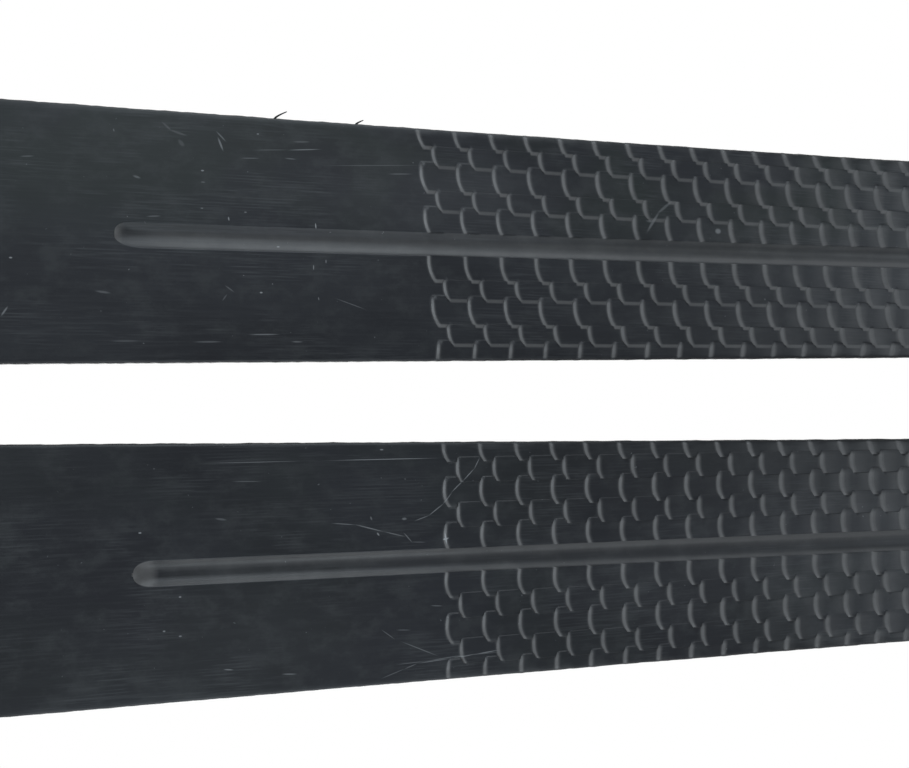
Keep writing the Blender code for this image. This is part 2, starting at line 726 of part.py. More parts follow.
def make_housing(side, ski, bar):
    """The toe housing: floor, nose, cheeks, claw guides and the jaw with the bar's seat."""
    half = HOUSING_WIDTH / 2
    nose_rear = HOUSING_FRONT - HOUSING_NOSE_LENGTH
    shoulder = CHEEK_REAR - HOUSING_CORNER
    tongue = JAW_WIDTH / 2 + TONGUE_MARGIN
    edge = [
        (-JAW_REAR, tongue - TONGUE_MARGIN),
        (-JAW_REAR + TONGUE_MARGIN, tongue),
        (shoulder - HOUSING_CORNER, tongue),
        (shoulder, half - HOUSING_CORNER),
        (CHEEK_REAR, half),
        (HOUSING_FRONT - HOUSING_CORNER, half),
        (HOUSING_FRONT, half - HOUSING_CORNER),
    ]
    outline = edge + [(x, -y) for x, y in reversed(edge)]
    name = f"{side}_toe_housing"
    mesh = plate_mesh(name, outline, 0, HOUSING_FLOOR)
    housing = new_object(name, mesh, "binding_plastic", ski, bar)
    guide_low = CLAW_WIDTH / 2 + CLEARANCE
    guide_top = HOUSING_FLOOR + GUIDE_HEIGHT
    jaw_front = -BAR_SLOT_WIDTH / 2
    nose_profile = [
        (nose_rear, SUNK),
        (HOUSING_FRONT - SUNK, SUNK),
        (HOUSING_FRONT - SUNK, HOUSING_NOSE_LIP),
        (HOUSING_FRONT - HOUSING_NOSE_SLOPE, HOUSING_NOSE_HEIGHT),
        (nose_rear, HOUSING_NOSE_HEIGHT),
    ]
    nose = prism_mesh(f"{side}_nose", nose_profile, lambda x: half - HOUSING_CORNER)
    add_boolean(housing, new_object(nose.name, nose, None, ski, bar, cutter=True), "UNION")
    guide_front = nose_rear - GUIDE_BEHIND_NOSE
    spring_stop_rear = guide_front - SPRING_STOP_THICKNESS
    additions = {
        "jaw": (
            (-JAW_REAR + JAW_INSET, -JAW_WIDTH / 2, SUNK),
            (jaw_front, JAW_WIDTH / 2, JAW_HEIGHT),
        ),
        "spring_stop": (
            (spring_stop_rear, -guide_low - SPRING_STOP_OVERLAP, SUNK),
            (guide_front, guide_low + SPRING_STOP_OVERLAP, guide_top - SPRING_STOP_DROP),
        ),
    }
    for sign, word in ((-1, "right"), (1, "left")):
        cheek = sorted((sign * (half - CHEEK_THICKNESS), sign * (half - CHEEK_INSET)))
        guide = sorted((sign * guide_low, sign * (guide_low + GUIDE_THICKNESS)))
        additions[f"cheek_{word}"] = (
            (CHEEK_REAR, cheek[0], SUNK),
            (CHEEK_FRONT, cheek[1], CHEEK_HEIGHT),
        )
        additions[f"guide_{word}"] = (
            (BAR_SLOT_WIDTH / 2 + CLEARANCE, guide[0], SUNK),
            (guide_front, guide[1], guide_top),
        )
    for word, (low, high) in additions.items():
        mesh = box_mesh(f"{side}_{word}", low, high)
        add_boolean(housing, new_object(mesh.name, mesh, None, ski, bar, cutter=True), "UNION")
    pin_place = bar + Vector((PIN_AT, 0, PIN_HEIGHT))
    mesh = rod_mesh(f"{side}_pin_hole", PIN_RADIUS + CLEARANCE, HOUSING_WIDTH + BORE_MARGIN)
    add_boolean(housing, new_object(mesh.name, mesh, None, ski, pin_place, cutter=True))
    return housing, spring_stop_rear


def finger_reach():
    """Radius from the pin to the finger's end, which moves the claw its travel in the lever's swing."""
    return CLAW_TRAVEL / (2 * math.sin(LEVER_SWING / 2))


def make_claw(side, ski, bar):
    """The claw, whose hook closes over the toe bar."""
    low = HOUSING_FLOOR + CLEARANCE
    top = low + CLAW_HEIGHT
    neck_rear = BAR_SLOT_WIDTH / 2
    neck_front = neck_rear + CLAW_NECK
    hook_low = BAR_HEIGHT + BAR_RADIUS + CLAW_HOOK_OVER_BAR
    hook_top = hook_low + CLAW_HOOK_THICKNESS
    hook_rear = -BAR_RADIUS - CLAW_HOOK_PAST_BAR
    profile = [
        (neck_rear, low),
        (CLAW_FRONT, low),
        (CLAW_FRONT, top),
        (neck_front, top),
        (neck_front, hook_top - CLAW_HOOK_BEVEL),
        (neck_front - CLAW_HOOK_BEVEL, hook_top),
        (hook_rear + CLAW_HOOK_BEVEL, hook_top),
        (hook_rear, hook_low + CLAW_HOOK_LIP),
        (hook_rear, hook_low),
        (neck_rear, hook_low),
    ]
    name = f"{side}_claw"
    mesh = prism_mesh(name, profile, lambda x: CLAW_WIDTH / 2)
    claw = new_object(name, mesh, "steel", ski, bar)
    slot_centre = PIN_AT - finger_reach() * math.sin(LEVER_SWING / 2)
    slot_half = FINGER_THICKNESS / 2 + FINGER_PLAY
    slot_side = FINGER_WIDTH / 2 + CLEARANCE
    slot = box_mesh(
        f"{side}_finger_slot",
        (slot_centre - slot_half, -slot_side, low - CUT_MARGIN),
        (slot_centre + slot_half, slot_side, top + CUT_MARGIN),
    )
    add_boolean(claw, new_object(slot.name, slot, None, ski, bar, cutter=True))


def make_spring(side, ski, bar, spring_stop_rear):
    """The coil spring between the claw and the housing's spring stop."""
    spring_rear = CLAW_FRONT + SPRING_WIRE + CLEARANCE
    spring_front = spring_stop_rear - SPRING_WIRE - CLEARANCE
    centre_height = HOUSING_FLOOR + CLEARANCE + SPRING_RADIUS + SPRING_WIRE
    curve = bpy.data.curves.new(f"{side}_claw_spring", "CURVE")
    curve.dimensions = "3D"
    curve.bevel_depth = SPRING_WIRE
    curve.bevel_resolution = 0
    curve.use_fill_caps = True
    count = SPRING_CURLS * SPRING_POINTS_PER_CURL + 1
    spline = curve.splines.new("POLY")
    spline.points.add(count - 1)
    for i, point in enumerate(spline.points):
        angle = 2 * math.pi * i / SPRING_POINTS_PER_CURL
        x = spring_rear + (spring_front - spring_rear) * i / (count - 1)
        y = SPRING_RADIUS * math.cos(angle)
        z = centre_height + SPRING_RADIUS * math.sin(angle)
        point.co = (x, y, z, 1)
    curve.materials.append(bpy.data.materials["steel"])
    spring = bpy.data.objects.new(curve.name, curve)
    bpy.data.collections["cross_country_skis"].objects.link(spring)
    spring.parent = ski
    spring.location = bar
    pitch = (spring_front - spring_rear) / SPRING_CURLS
    print(f"{side} claw spring: least gap between curls {1000 * (pitch - 2 * SPRING_WIRE):.2f} mm")


def make_lever(side, ski, bar):
    """The hand lever with the finger that moves the claw, and the pin that it turns on."""
    radius = LEVER_BARREL_RADIUS
    barrel = []
    for i in range(LEVER_BARREL_CORNERS):
        angle = LEVER_BARREL_FROM + LEVER_BARREL_TURN * i / (LEVER_BARREL_CORNERS - 1)
        barrel.append((radius * math.cos(angle), radius * math.sin(angle)))
    drop = PIN_HEIGHT - HOUSING_NOSE_HEIGHT - LEVER_OVER_NOSE
    crest_x, dip_x = LEVER_LENGTH * LEVER_CREST[0], LEVER_LENGTH * LEVER_DIP[0]
    crown = [
        (radius + LEVER_ROOT, -radius + LEVER_ROOT_RISE),
        (crest_x, LEVER_CREST[1] - LEVER_THICKNESS),
        (dip_x, LEVER_DIP[1] - LEVER_THICKNESS),
        (LEVER_LENGTH, -drop),
        (LEVER_LENGTH + LEVER_END_SLOPE, -drop + LEVER_END_THICKNESS),
        (dip_x, LEVER_DIP[1]),
        (crest_x, LEVER_CREST[1]),
    ]

    def plan(x):
        share = min(max(x / LEVER_LENGTH, 0), 1) ** 2
        return (LEVER_WIDTH + (LEVER_FRONT_WIDTH - LEVER_WIDTH) * share) / 2

    pin_place = bar + Vector((PIN_AT, 0, PIN_HEIGHT))
    name = f"{side}_lever"
    mesh = prism_mesh(name, barrel + crown, plan)
    lever = new_object(name, mesh, "lever_red", ski, pin_place)
    reach = finger_reach()
    half_thick = FINGER_THICKNESS / 2
    outline = [(-half_thick, -FINGER_ROOT), (-half_thick, -reach)]
    for i in range(1, FINGER_END_CORNERS):
        angle = math.pi + math.pi * i / FINGER_END_CORNERS
        outline.append((half_thick * math.cos(angle), -reach + half_thick * math.sin(angle)))
    outline += [(half_thick, -reach), (half_thick, -FINGER_ROOT)]
    turn = Matrix.Rotation(-LEVER_SWING / 2, 2)
    finger_profile = [tuple(turn @ Vector(corner)) for corner in outline]
    finger = prism_mesh(f"{side}_finger", finger_profile, lambda x: FINGER_WIDTH / 2)
    add_boolean(lever, new_object(finger.name, finger, None, ski, pin_place, cutter=True), "UNION")
    bore = rod_mesh(f"{side}_lever_bore", PIN_RADIUS + CLEARANCE, LEVER_WIDTH + BORE_MARGIN)
    add_boolean(lever, new_object(bore.name, bore, None, ski, pin_place, cutter=True))
    pin = rod_mesh(f"{side}_lever_pin", PIN_RADIUS, HOUSING_WIDTH - 2 * PIN_INSET)
    new_object(pin.name, pin, "steel", ski, pin_place)


def make_flexor(side, ski, bar):
    """The rubber block ahead of the bar, between the cheeks and over the claw's guides."""
    bottom = HOUSING_FLOOR + GUIDE_HEIGHT + CLEARANCE
    half = HOUSING_WIDTH / 2 - CHEEK_THICKNESS - CLEARANCE
    front = FLEXOR_REAR + FLEXOR_LENGTH
    profile = [
        (FLEXOR_REAR, bottom),
        (front, bottom),
        (front, bottom + FLEXOR_HEIGHT - FLEXOR_BEVEL),
        (front - FLEXOR_BEVEL, bottom + FLEXOR_HEIGHT),
        (FLEXOR_REAR + FLEXOR_LEAN + FLEXOR_BEVEL, bottom + FLEXOR_HEIGHT),
        (FLEXOR_REAR + FLEXOR_LEAN, bottom + FLEXOR_HEIGHT - FLEXOR_BEVEL),
    ]
    name = f"{side}_flexor"
    new_object(name, prism_mesh(name, profile, lambda x: half), "flexor_rubber", ski, bar)


def make_ski(side):
    """One ski with its binding, placed in the pair."""
    sign = 1 if side == "left" else -1
    yaw = sign * SPLAY / 2
    grip_x = local_x(GRIP_AT)
    across = CENTRE_DISTANCE / 2 - grip_x * math.tan(SPLAY / 2)
    ski = bpy.data.objects.new(f"{side}_ski_frame", None)
    bpy.data.collections["cross_country_skis"].objects.link(ski)
    ski.location = (sign * LEFT_AHEAD / 2, sign * across, 0)
    ski.rotation_euler = (0, 0, yaw)

    seat_top = top_height(BAR_AT) + CLEARANCE
    bar = Vector((local_x(BAR_AT), 0, seat_top))
    drilled = make_ski_layers(side, ski)
    housing, spring_stop_rear = make_housing(side, ski, bar)
    drilled += [housing] + make_plates(side, ski)
    holes = make_screws(side, ski)
    for piece in drilled:
        add_boolean(piece, holes)
    make_claw(side, ski, bar)
    make_spring(side, ski, bar, spring_stop_rear)
    make_lever(side, ski, bar)
    make_flexor(side, ski, bar)


def main():
    for obj in list(bpy.data.objects):
        bpy.data.objects.remove(obj, do_unlink=True)
    for name in ("cross_country_skis", "cutters"):
        bpy.context.scene.collection.children.link(bpy.data.collections.new(name))
    for name in COLOURS:
        make_material(name)
    for side in ("right", "left"):
        make_ski(side)


main()
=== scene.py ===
"""Looks of a pair of pattern-base cross-country skis with touring bindings, for Blender 4.5.

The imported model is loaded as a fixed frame. Every visible piece is modelled again in detail around
it, in metres and in the frame's own axes: +X towards the tips, +Y to the skier's left, +Z up.
Places along a ski are given as s, measured from its tail end.
"""

from __future__ import annotations

import json
import logging
import math
from contextlib import contextmanager
from dataclasses import dataclass, field
from enum import Enum, IntEnum
from typing import Any, Callable, Iterator, NamedTuple, Sequence

import bmesh
import bpy
import numpy as np
from mathutils import Matrix, Vector

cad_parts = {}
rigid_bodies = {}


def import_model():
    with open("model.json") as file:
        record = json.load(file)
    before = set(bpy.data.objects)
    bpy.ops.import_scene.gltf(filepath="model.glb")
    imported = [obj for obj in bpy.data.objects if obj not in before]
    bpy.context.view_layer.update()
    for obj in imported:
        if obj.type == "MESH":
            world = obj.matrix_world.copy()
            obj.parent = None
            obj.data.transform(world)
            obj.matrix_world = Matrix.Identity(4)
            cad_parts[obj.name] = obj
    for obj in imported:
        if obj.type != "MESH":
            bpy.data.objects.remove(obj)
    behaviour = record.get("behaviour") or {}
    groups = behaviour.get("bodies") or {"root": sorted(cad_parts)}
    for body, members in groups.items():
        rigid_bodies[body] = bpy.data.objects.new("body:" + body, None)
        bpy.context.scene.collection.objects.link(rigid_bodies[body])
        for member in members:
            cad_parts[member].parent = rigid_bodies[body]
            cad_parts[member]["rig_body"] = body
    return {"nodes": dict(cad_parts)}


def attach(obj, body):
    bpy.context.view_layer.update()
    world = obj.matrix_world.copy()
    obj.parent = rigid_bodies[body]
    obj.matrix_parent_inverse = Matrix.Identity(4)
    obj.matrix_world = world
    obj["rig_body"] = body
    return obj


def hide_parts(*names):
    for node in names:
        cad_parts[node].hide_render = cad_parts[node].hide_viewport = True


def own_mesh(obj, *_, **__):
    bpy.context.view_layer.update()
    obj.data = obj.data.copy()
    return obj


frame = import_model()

LOG = logging.getLogger("skis")
MM = 0.001

Point = Sequence[float]
Section = Callable[[np.ndarray], list[tuple[Any, Any]]]
Test = Callable[[Vector, Vector], bool]


class Side(Enum):
    """The foot that a ski is for."""

    RIGHT = "right"
    LEFT = "left"

    @property
    def sign(self) -> int:
        """+1 for the ski on the +Y side, -1 for the other."""
        return 1 if self is Side.LEFT else -1

    def named(self, piece: str) -> str:
        """The name of this side's piece."""
        return f"{self.value}_{piece}"


def ease(share: Any) -> Any:
    """From 0 to 1 as share goes from 0 to 1, level at both ends."""
    return (1 - np.cos(np.pi * np.clip(share, 0, 1))) / 2


@dataclass(frozen=True)
class SkiShape:
    """The outline, side view and place of a ski, as in the frame."""

    length: float = 1.900
    tail_width: float = 0.0520
    waist_width: float = 0.0445
    shovel_width: float = 0.0550
    tail_widest: float = 0.115
    waist: float = 0.950
    shovel: float = 1.680
    tail_taper: float = 0.0040
    tip_fullness: float = 2.4
    tip_bluntness: float = 0.6
    rear_lift: float = 0.085
    camber_from: float = 0.125
    camber_to: float = 1.635
    front_lift: float = 1.675
    camber: float = 0.024
    tip_rise: float = 0.062
    tail_rise: float = 0.008
    tail_thickness: float = 0.0075
    seat_thickness: float = 0.0245
    tip_thickness: float = 0.0068
    seat_from: float = 0.885
    seat_to: float = 1.000
    layers_from: float = 0.030
    layers_to: float = 1.862
    base_thickness: float = 0.0020
    side_lean: float = math.radians(4)
    centre_distance: float = 0.0633
    splay: float = math.radians(0.55)
    left_ahead: float = 0.0031
    distance_at: float = 0.620

    def width(self, s: Any) -> Any:
        """Full width of the ski at s."""
        s = np.asarray(s, float)
        tail = self.tail_width - self.tail_taper * (1 - s / self.tail_widest) ** 2
        to_waist = ease((self.waist - s) / (self.waist - self.tail_widest))
        rear = self.waist_width + (self.tail_width - self.waist_width) * to_waist
        to_shovel = ease((s - self.waist) / (self.shovel - self.waist))
        front = self.waist_width + (self.shovel_width - self.waist_width) * to_shovel
        reach = np.clip((s - self.shovel) / (self.length - self.shovel), 0, 1)
        tip = self.shovel_width * (1 - reach**self.tip_fullness) ** self.tip_bluntness
        zones = [s < self.tail_widest, s < self.waist, s < self.shovel]
        return np.select(zones, [tail, rear, front], tip)

    def base(self, s: Any) -> Any:
        """Height of the base's underside over the ground at s."""
        s = np.asarray(s, float)
        tail = self.tail_rise * (1 - np.minimum(s / self.rear_lift, 1)) ** 2
        past = np.maximum(s - self.front_lift, 0) / (self.length - self.front_lift)
        along = np.clip((s - self.camber_from) / (self.camber_to - self.camber_from), 0, 1)
        arch = self.camber * (1 - np.cos(2 * np.pi * along)) / 2
        return tail + self.tip_rise * past**2 + arch

    def top(self, s: Any) -> Any:
        """Height of the top sheet's upper face over the ground at s; level under the housing."""
        s = np.asarray(s, float)
        seat = self.base(self.seat_from) + self.seat_thickness
        share = ease((s - self.layers_from) / (self.seat_from - self.layers_from))
        grown = (self.seat_thickness - self.tail_thickness) * share
        rear = self.base(s) + self.tail_thickness + grown
        thick = seat - self.base(self.seat_to)
        share = ease((s - self.seat_to) / (self.shovel - self.seat_to))
        front = self.base(s) + thick + (self.tip_thickness - thick) * share
        return np.select([s < self.seat_from, s <= self.seat_to], [rear, seat], front)

    def edge(self, s: Any, z: Any) -> Any:
        """Distance of the ski's side from its centre line, at s and at height z."""
        lean = math.tan(self.side_lean)
        return self.width(s) / 2 - (z - self.base(s) - self.base_thickness) * lean

    def slope(self, s: float) -> float:
        """Rise of the top sheet per length at s."""
        reach = 4 * MM
        return float(self.top(s + reach) - self.top(s - reach)) / (2 * reach)

    def place(self, side: Side) -> Matrix:
        """The ski's own frame in the pair: its origin is under the middle of its length."""
        half = self.splay / 2
        across = self.centre_distance / 2
        across -= (self.distance_at - self.length / 2) * math.tan(half)
        spot = Vector((side.sign * self.left_ahead / 2, side.sign * across, 0))
        return Matrix.Translation(spot) @ Matrix.Rotation(side.sign * half, 4, "Z")

    def local(self, s: Any) -> Any:
        """Place along the ski's own frame."""
        return s - self.length / 2


SHAPE = SkiShape()


class Value:
    """A shader socket that takes part in sums and products."""

    def __init__(self, paint: Paint, socket: bpy.types.NodeSocket) -> None:
        self.paint = paint
        self.socket = socket

    def math(self, operation: str, *others: Any, clamp: bool = False) -> Value:
        """This value put through a Math node, before the others."""
        return self.paint.math(operation, self, *others, clamp=clamp)

    def __add__(self, other: Any) -> Value:
        return self.math("ADD", other)

    __radd__ = __add__

    def __sub__(self, other: Any) -> Value:
        return self.math("SUBTRACT", other)

    def __mul__(self, other: Any) -> Value:
        return self.math("MULTIPLY", other)

    def __abs__(self) -> Value:
        return self.math("ABSOLUTE")

    def most(self, other: Any) -> Value:
        """The larger of this and another value."""
        return self.math("MAXIMUM", other)

    def held(self, factor: float) -> Value:
        """This value times a factor, held between 0 and 1."""
        return self.math("MULTIPLY", factor, clamp=True)

    def step(self, low: float, high: float) -> Value:
        """0 below low and 1 above high, with a soft change between; low may be the larger."""
        settings = {"interpolation_type": "SMOOTHSTEP"}
        sockets = {"Value": self, "From Min": low, "From Max": high}
        return self.paint.value("ShaderNodeMapRange", settings, sockets)


class Paint:
    """The node tree of one material, with short ways of adding nodes."""

    def __init__(self, name: str, **constants: Any) -> None:
        self.material = bpy.data.materials.new(name)
        self.material.use_nodes = True
        self.nodes = self.material.node_tree.nodes
        self.links = self.material.node_tree.links
        self.shader = self.nodes["Principled BSDF"]
        for socket, value in constants.items():
            self.shader.inputs[socket.replace("_", " ")].default_value = value
        place = self.node("ShaderNodeTexCoord", {}, {}).outputs["Object"]
        self.place = Value(self, place)

    def node(self, kind: str, settings: dict[str, Any], sockets: dict[Any, Any]) -> Any:
        """A new node.

        Args:
            kind: The node's type.
            settings: Its properties.
            sockets: Values or links of its inputs, by name or number.

        Returns:
            The node.
        """
        node = self.nodes.new(kind)
        for name, value in settings.items():
            setattr(node, name, value)
        for name, value in sockets.items():
            self.feed(node.inputs[name], value)
        return node

    def feed(self, socket: bpy.types.NodeSocket, value: Any) -> None:
        """Links a value to a socket, or sets the socket to a number or colour."""
        if isinstance(value, Value):
            self.links.new(value.socket, socket)
        elif socket.type == "RGBA":
            socket.default_value = (*value[:3], 1)
        else:
            socket.default_value = value

    def value(
        self, kind: str, settings: dict[str, Any], sockets: dict[Any, Any], out: Any = 0
    ) -> Value:
        """One output of a new node."""
        return Value(self, self.node(kind, settings, sockets).outputs[out])

    def math(self, operation: str, *values: Any, clamp: bool = False) -> Value:
        """The output of a Math node."""
        settings = {"operation": operation, "use_clamp": clamp}
        return self.value("ShaderNodeMath", settings, dict(enumerate(values)))

    def stretched(self, x: float, y: float, z: float) -> Value:
        """The place in the object, stretched along the axes."""
        return self.value("ShaderNodeMapping", {}, {"Vector": self.place, "Scale": (x, y, z)})

    def noise(self, scale: Point, detail: float = 3, rough: float = 0.55, warp: float = 0) -> Value:
        """Smooth noise from 0 to 1, with cells of 1/scale metres along each axis."""
        sockets = {
            "Vector": self.stretched(*scale),
            "Scale": 1.0,
            "Detail": detail,
            "Roughness": rough,
            "Distortion": warp,
        }
        return self.value("ShaderNodeTexNoise", {}, sockets)

    def attribute(self, name: str) -> Value:
        """A number kept on the mesh's points."""
        return self.value("ShaderNodeAttribute", {"attribute_name": name}, {}, "Fac")

    def axis(self, name: str) -> Value:
        """One coordinate of the place in the object."""
        return self.value("ShaderNodeSeparateXYZ", {}, {0: self.place}, name)

    def mix(self, mask: Any, low: Any, high: Any) -> Value:
        """A colour between low and high, as mask goes from 0 to 1."""
        node = self.node("ShaderNodeMix", {"data_type": "RGBA"}, {})
        self.feed(node.inputs["Factor"], mask)
        for identifier, colour in (("A_Color", low), ("B_Color", high)):
            socket = next(i for i in node.inputs if i.identifier == identifier)
            self.feed(socket, colour)
        socket = next(o for o in node.outputs if o.identifier == "Result_Color")
        return Value(self, socket)

    def surface(self, colour: Value, rough: Value | None = None) -> None:
        """Feeds the sockets that vary over the surface."""
        self.feed(self.shader.inputs["Base Color"], colour)
        if rough is not None:
            self.feed(self.shader.inputs["Roughness"], rough)

    def bump(self, height: Value, strength: float, distance: float) -> None:
        """Raises the surface by a height map; distance is in metres."""
        below = self.shader.inputs["Normal"].links
        sockets: dict[Any, Any] = {"Height": height, "Strength": strength, "Distance": distance}
        if below:
            sockets["Normal"] = Value(self, below[0].from_socket)
        self.feed(self.shader.inputs["Normal"], self.value("ShaderNodeBump", {}, sockets))


class Mark(NamedTuple):
    """A scratch, speck or patch on a running base: its ends in world millimetres, its width in
    millimetres and its strength.
    """

    x0: float
    y0: float
    x1: float
    y1: float
    width: float
    strength: float


# The marks of each base, and its patch of fine grinding lines, each as the numbers of a Mark.
MARKS = {
    Side.RIGHT: (
        (-372.3, -51.8, -370.6, -50.0, 0.34, 0.36), (-372.0, -50.6, -371.1, -48.2, 0.44, 0.52),
        (-359.1, -49.0, -352.4, -49.6, 0.26, 0.48), (-365.7, -48.6, -358.5, -49.1, 0.20, 0.25),
        (-358.0, -50.7, -354.7, -50.9, 0.40, 0.20), (-382.1, -52.9, -380.5, -51.4, 0.46, 0.15),
        (-380.7, -51.5, -377.7, -50.6, 0.50, 0.17), (-379.0, -49.5, -378.4, -48.8, 0.90, 0.14),
        (-375.0, -44.1, -374.7, -44.1, 0.36, 0.80), (-375.1, -41.9, -374.4, -41.9, 0.25, 0.35),
        (-364.7, -51.8, -364.5, -51.8, 0.32, 0.60), (-370.1, -35.4, -370.0, -34.8, 0.30, 0.75),
        (-353.7, -34.9, -353.6, -33.9, 0.26, 1.00), (-361.0, -30.2, -360.7, -30.2, 0.36, 0.90),
        (-354.1, -26.7, -354.1, -25.8, 0.24, 0.70), (-351.7, -27.8, -351.7, -27.2, 0.24, 0.60),
        (-364.2, -21.1, -363.9, -21.1, 0.36, 0.80), (-353.2, -20.4, -353.1, -19.9, 0.24, 0.50),
        (-408.1, -26.4, -407.8, -26.4, 0.36, 0.80), (-409.4, -15.9, -408.4, -17.5, 0.40, 0.45),
        (-387.1, -42.4, -386.1, -42.1, 0.50, 0.30), (-390.7, -51.0, -390.6, -50.6, 0.25, 0.40),
        (-375.1, -36.9, -374.8, -36.9, 0.30, 0.40), (-367.1, -36.5, -366.8, -36.5, 0.30, 0.50),
        (-366.3, -13.0, -360.6, -13.1, 0.32, 0.40), (-391.1, -11.5, -386.1, -11.6, 0.40, 0.14),
        (-376.5, -11.5, -371.2, -11.6, 0.40, 0.22), (-358.3, -11.7, -356.3, -11.7, 0.36, 0.30),
        (-370.7, -22.3, -369.1, -21.1, 0.30, 0.25), (-371.2, -19.4, -370.4, -20.6, 0.30, 0.22),
        (-384.8, -34.9, -382.4, -35.1, 0.35, 0.25), (-339.6, -45.4, -334.2, -45.7, 0.20, 0.45),
        (-350.2, -20.4, -343.7, -18.1, 0.20, 0.30), (-277.9, -42.7, -281.3, -39.9, 0.70, 0.24),
        (-280.9, -40.2, -283.7, -35.9, 0.75, 0.30), (-283.8, -38.3, -282.5, -38.1, 0.60, 0.20),
        (-267.1, -36.7, -266.8, -36.7, 1.35, 0.50), (-347.0, -41.0, -307.0, -41.0, 25.0, 0.036),
        (-328.0, -42.0, -318.0, -42.0, 18.0, 0.055), (-352.0, -25.0, -330.0, -23.0, 16.0, 0.012),
        (-352.8, -46.3, -330.8, -47.7, 0.16, 0.30), (-406.5, -44.9, -404.2, -45.1, 0.30, 0.25),
        (-393.6, -20.7, -391.2, -20.4, 0.50, 0.22), (-367.9, -46.9, -364.2, -47.1, 0.20, 0.35),
        (-359.5, -47.4, -357.4, -47.3, 0.30, 0.30),
    ),
    Side.LEFT: (
        (-375.3, 11.3, -355.9, 11.3, 0.20, 0.35), (-351.9, 11.3, -329.0, 11.3, 0.20, 0.60),
        (-369.7, 14.8, -364.0, 15.0, 0.20, 0.25), (-351.0, 23.4, -346.2, 23.9, 0.22, 0.45),
        (-346.5, 23.8, -340.6, 25.5, 0.28, 0.50), (-340.9, 25.4, -336.5, 26.6, 0.26, 0.40),
        (-336.8, 25.8, -335.1, 27.8, 0.26, 0.40), (-335.3, 27.7, -332.3, 27.9, 0.22, 0.22),
        (-334.6, 23.6, -331.6, 22.6, 0.24, 0.40), (-331.8, 22.7, -328.6, 20.3, 0.26, 0.50),
        (-328.9, 20.6, -327.0, 18.1, 0.24, 0.40), (-327.2, 18.2, -324.7, 15.9, 0.24, 0.55),
        (-324.8, 16.0, -322.3, 13.5, 0.24, 0.55), (-322.4, 13.7, -321.2, 11.4, 0.24, 0.50),
        (-336.9, 23.1, -336.4, 23.1, 0.60, 0.40), (-342.0, 25.7, -341.7, 26.1, 0.36, 0.70),
        (-343.3, 22.5, -343.1, 23.0, 0.40, 0.35), (-328.5, 26.2, -328.2, 28.4, 0.34, 1.00),
        (-328.8, 27.5, -327.9, 27.2, 0.45, 1.00), (-341.5, 53.9, -336.7, 52.3, 0.22, 0.30),
        (-336.9, 52.4, -334.3, 51.5, 0.22, 0.35), (-334.5, 51.5, -327.3, 51.0, 0.22, 0.45),
        (-327.5, 51.0, -322.3, 50.4, 0.22, 0.55), (-322.6, 50.5, -317.6, 50.1, 0.26, 0.55),
        (-338.5, 51.4, -332.6, 51.2, 0.20, 0.30), (-332.8, 51.2, -324.3, 50.5, 0.20, 0.40),
        (-324.6, 50.5, -317.4, 50.5, 0.22, 0.30), (-341.4, 44.4, -338.7, 46.5, 0.22, 0.30),
        (-337.7, 46.9, -329.8, 50.5, 0.22, 0.35), (-371.0, 49.8, -369.3, 50.0, 0.26, 0.60),
        (-360.4, 51.5, -357.6, 51.7, 0.26, 0.50), (-331.5, 40.4, -329.1, 40.6, 0.24, 0.35),
        (-338.5, 44.7, -335.5, 44.9, 0.22, 0.30), (-386.0, 23.8, -385.7, 23.8, 0.36, 0.80),
        (-378.9, 35.9, -378.7, 35.9, 0.36, 0.70), (-381.7, 42.0, -381.5, 42.0, 0.36, 0.70),
        (-378.9, 43.1, -378.6, 43.1, 0.36, 0.60), (-372.4, 21.7, -370.6, 22.0, 0.50, 0.22),
        (-341.3, 9.4, -340.8, 9.4, 0.36, 0.60), (-380.0, 41.0, -345.0, 42.0, 24.0, 0.016),
        (-300.0, 40.0, -270.0, 40.0, 20.0, 0.012),
    ),
}
GROUND = {
    Side.RIGHT: (-369.0, -40.5, -362.0, -39.5, 10.0, 0.9),
    Side.LEFT: (-345.0, 17.0, -332.0, 17.0, 9.0, 0.6),
}


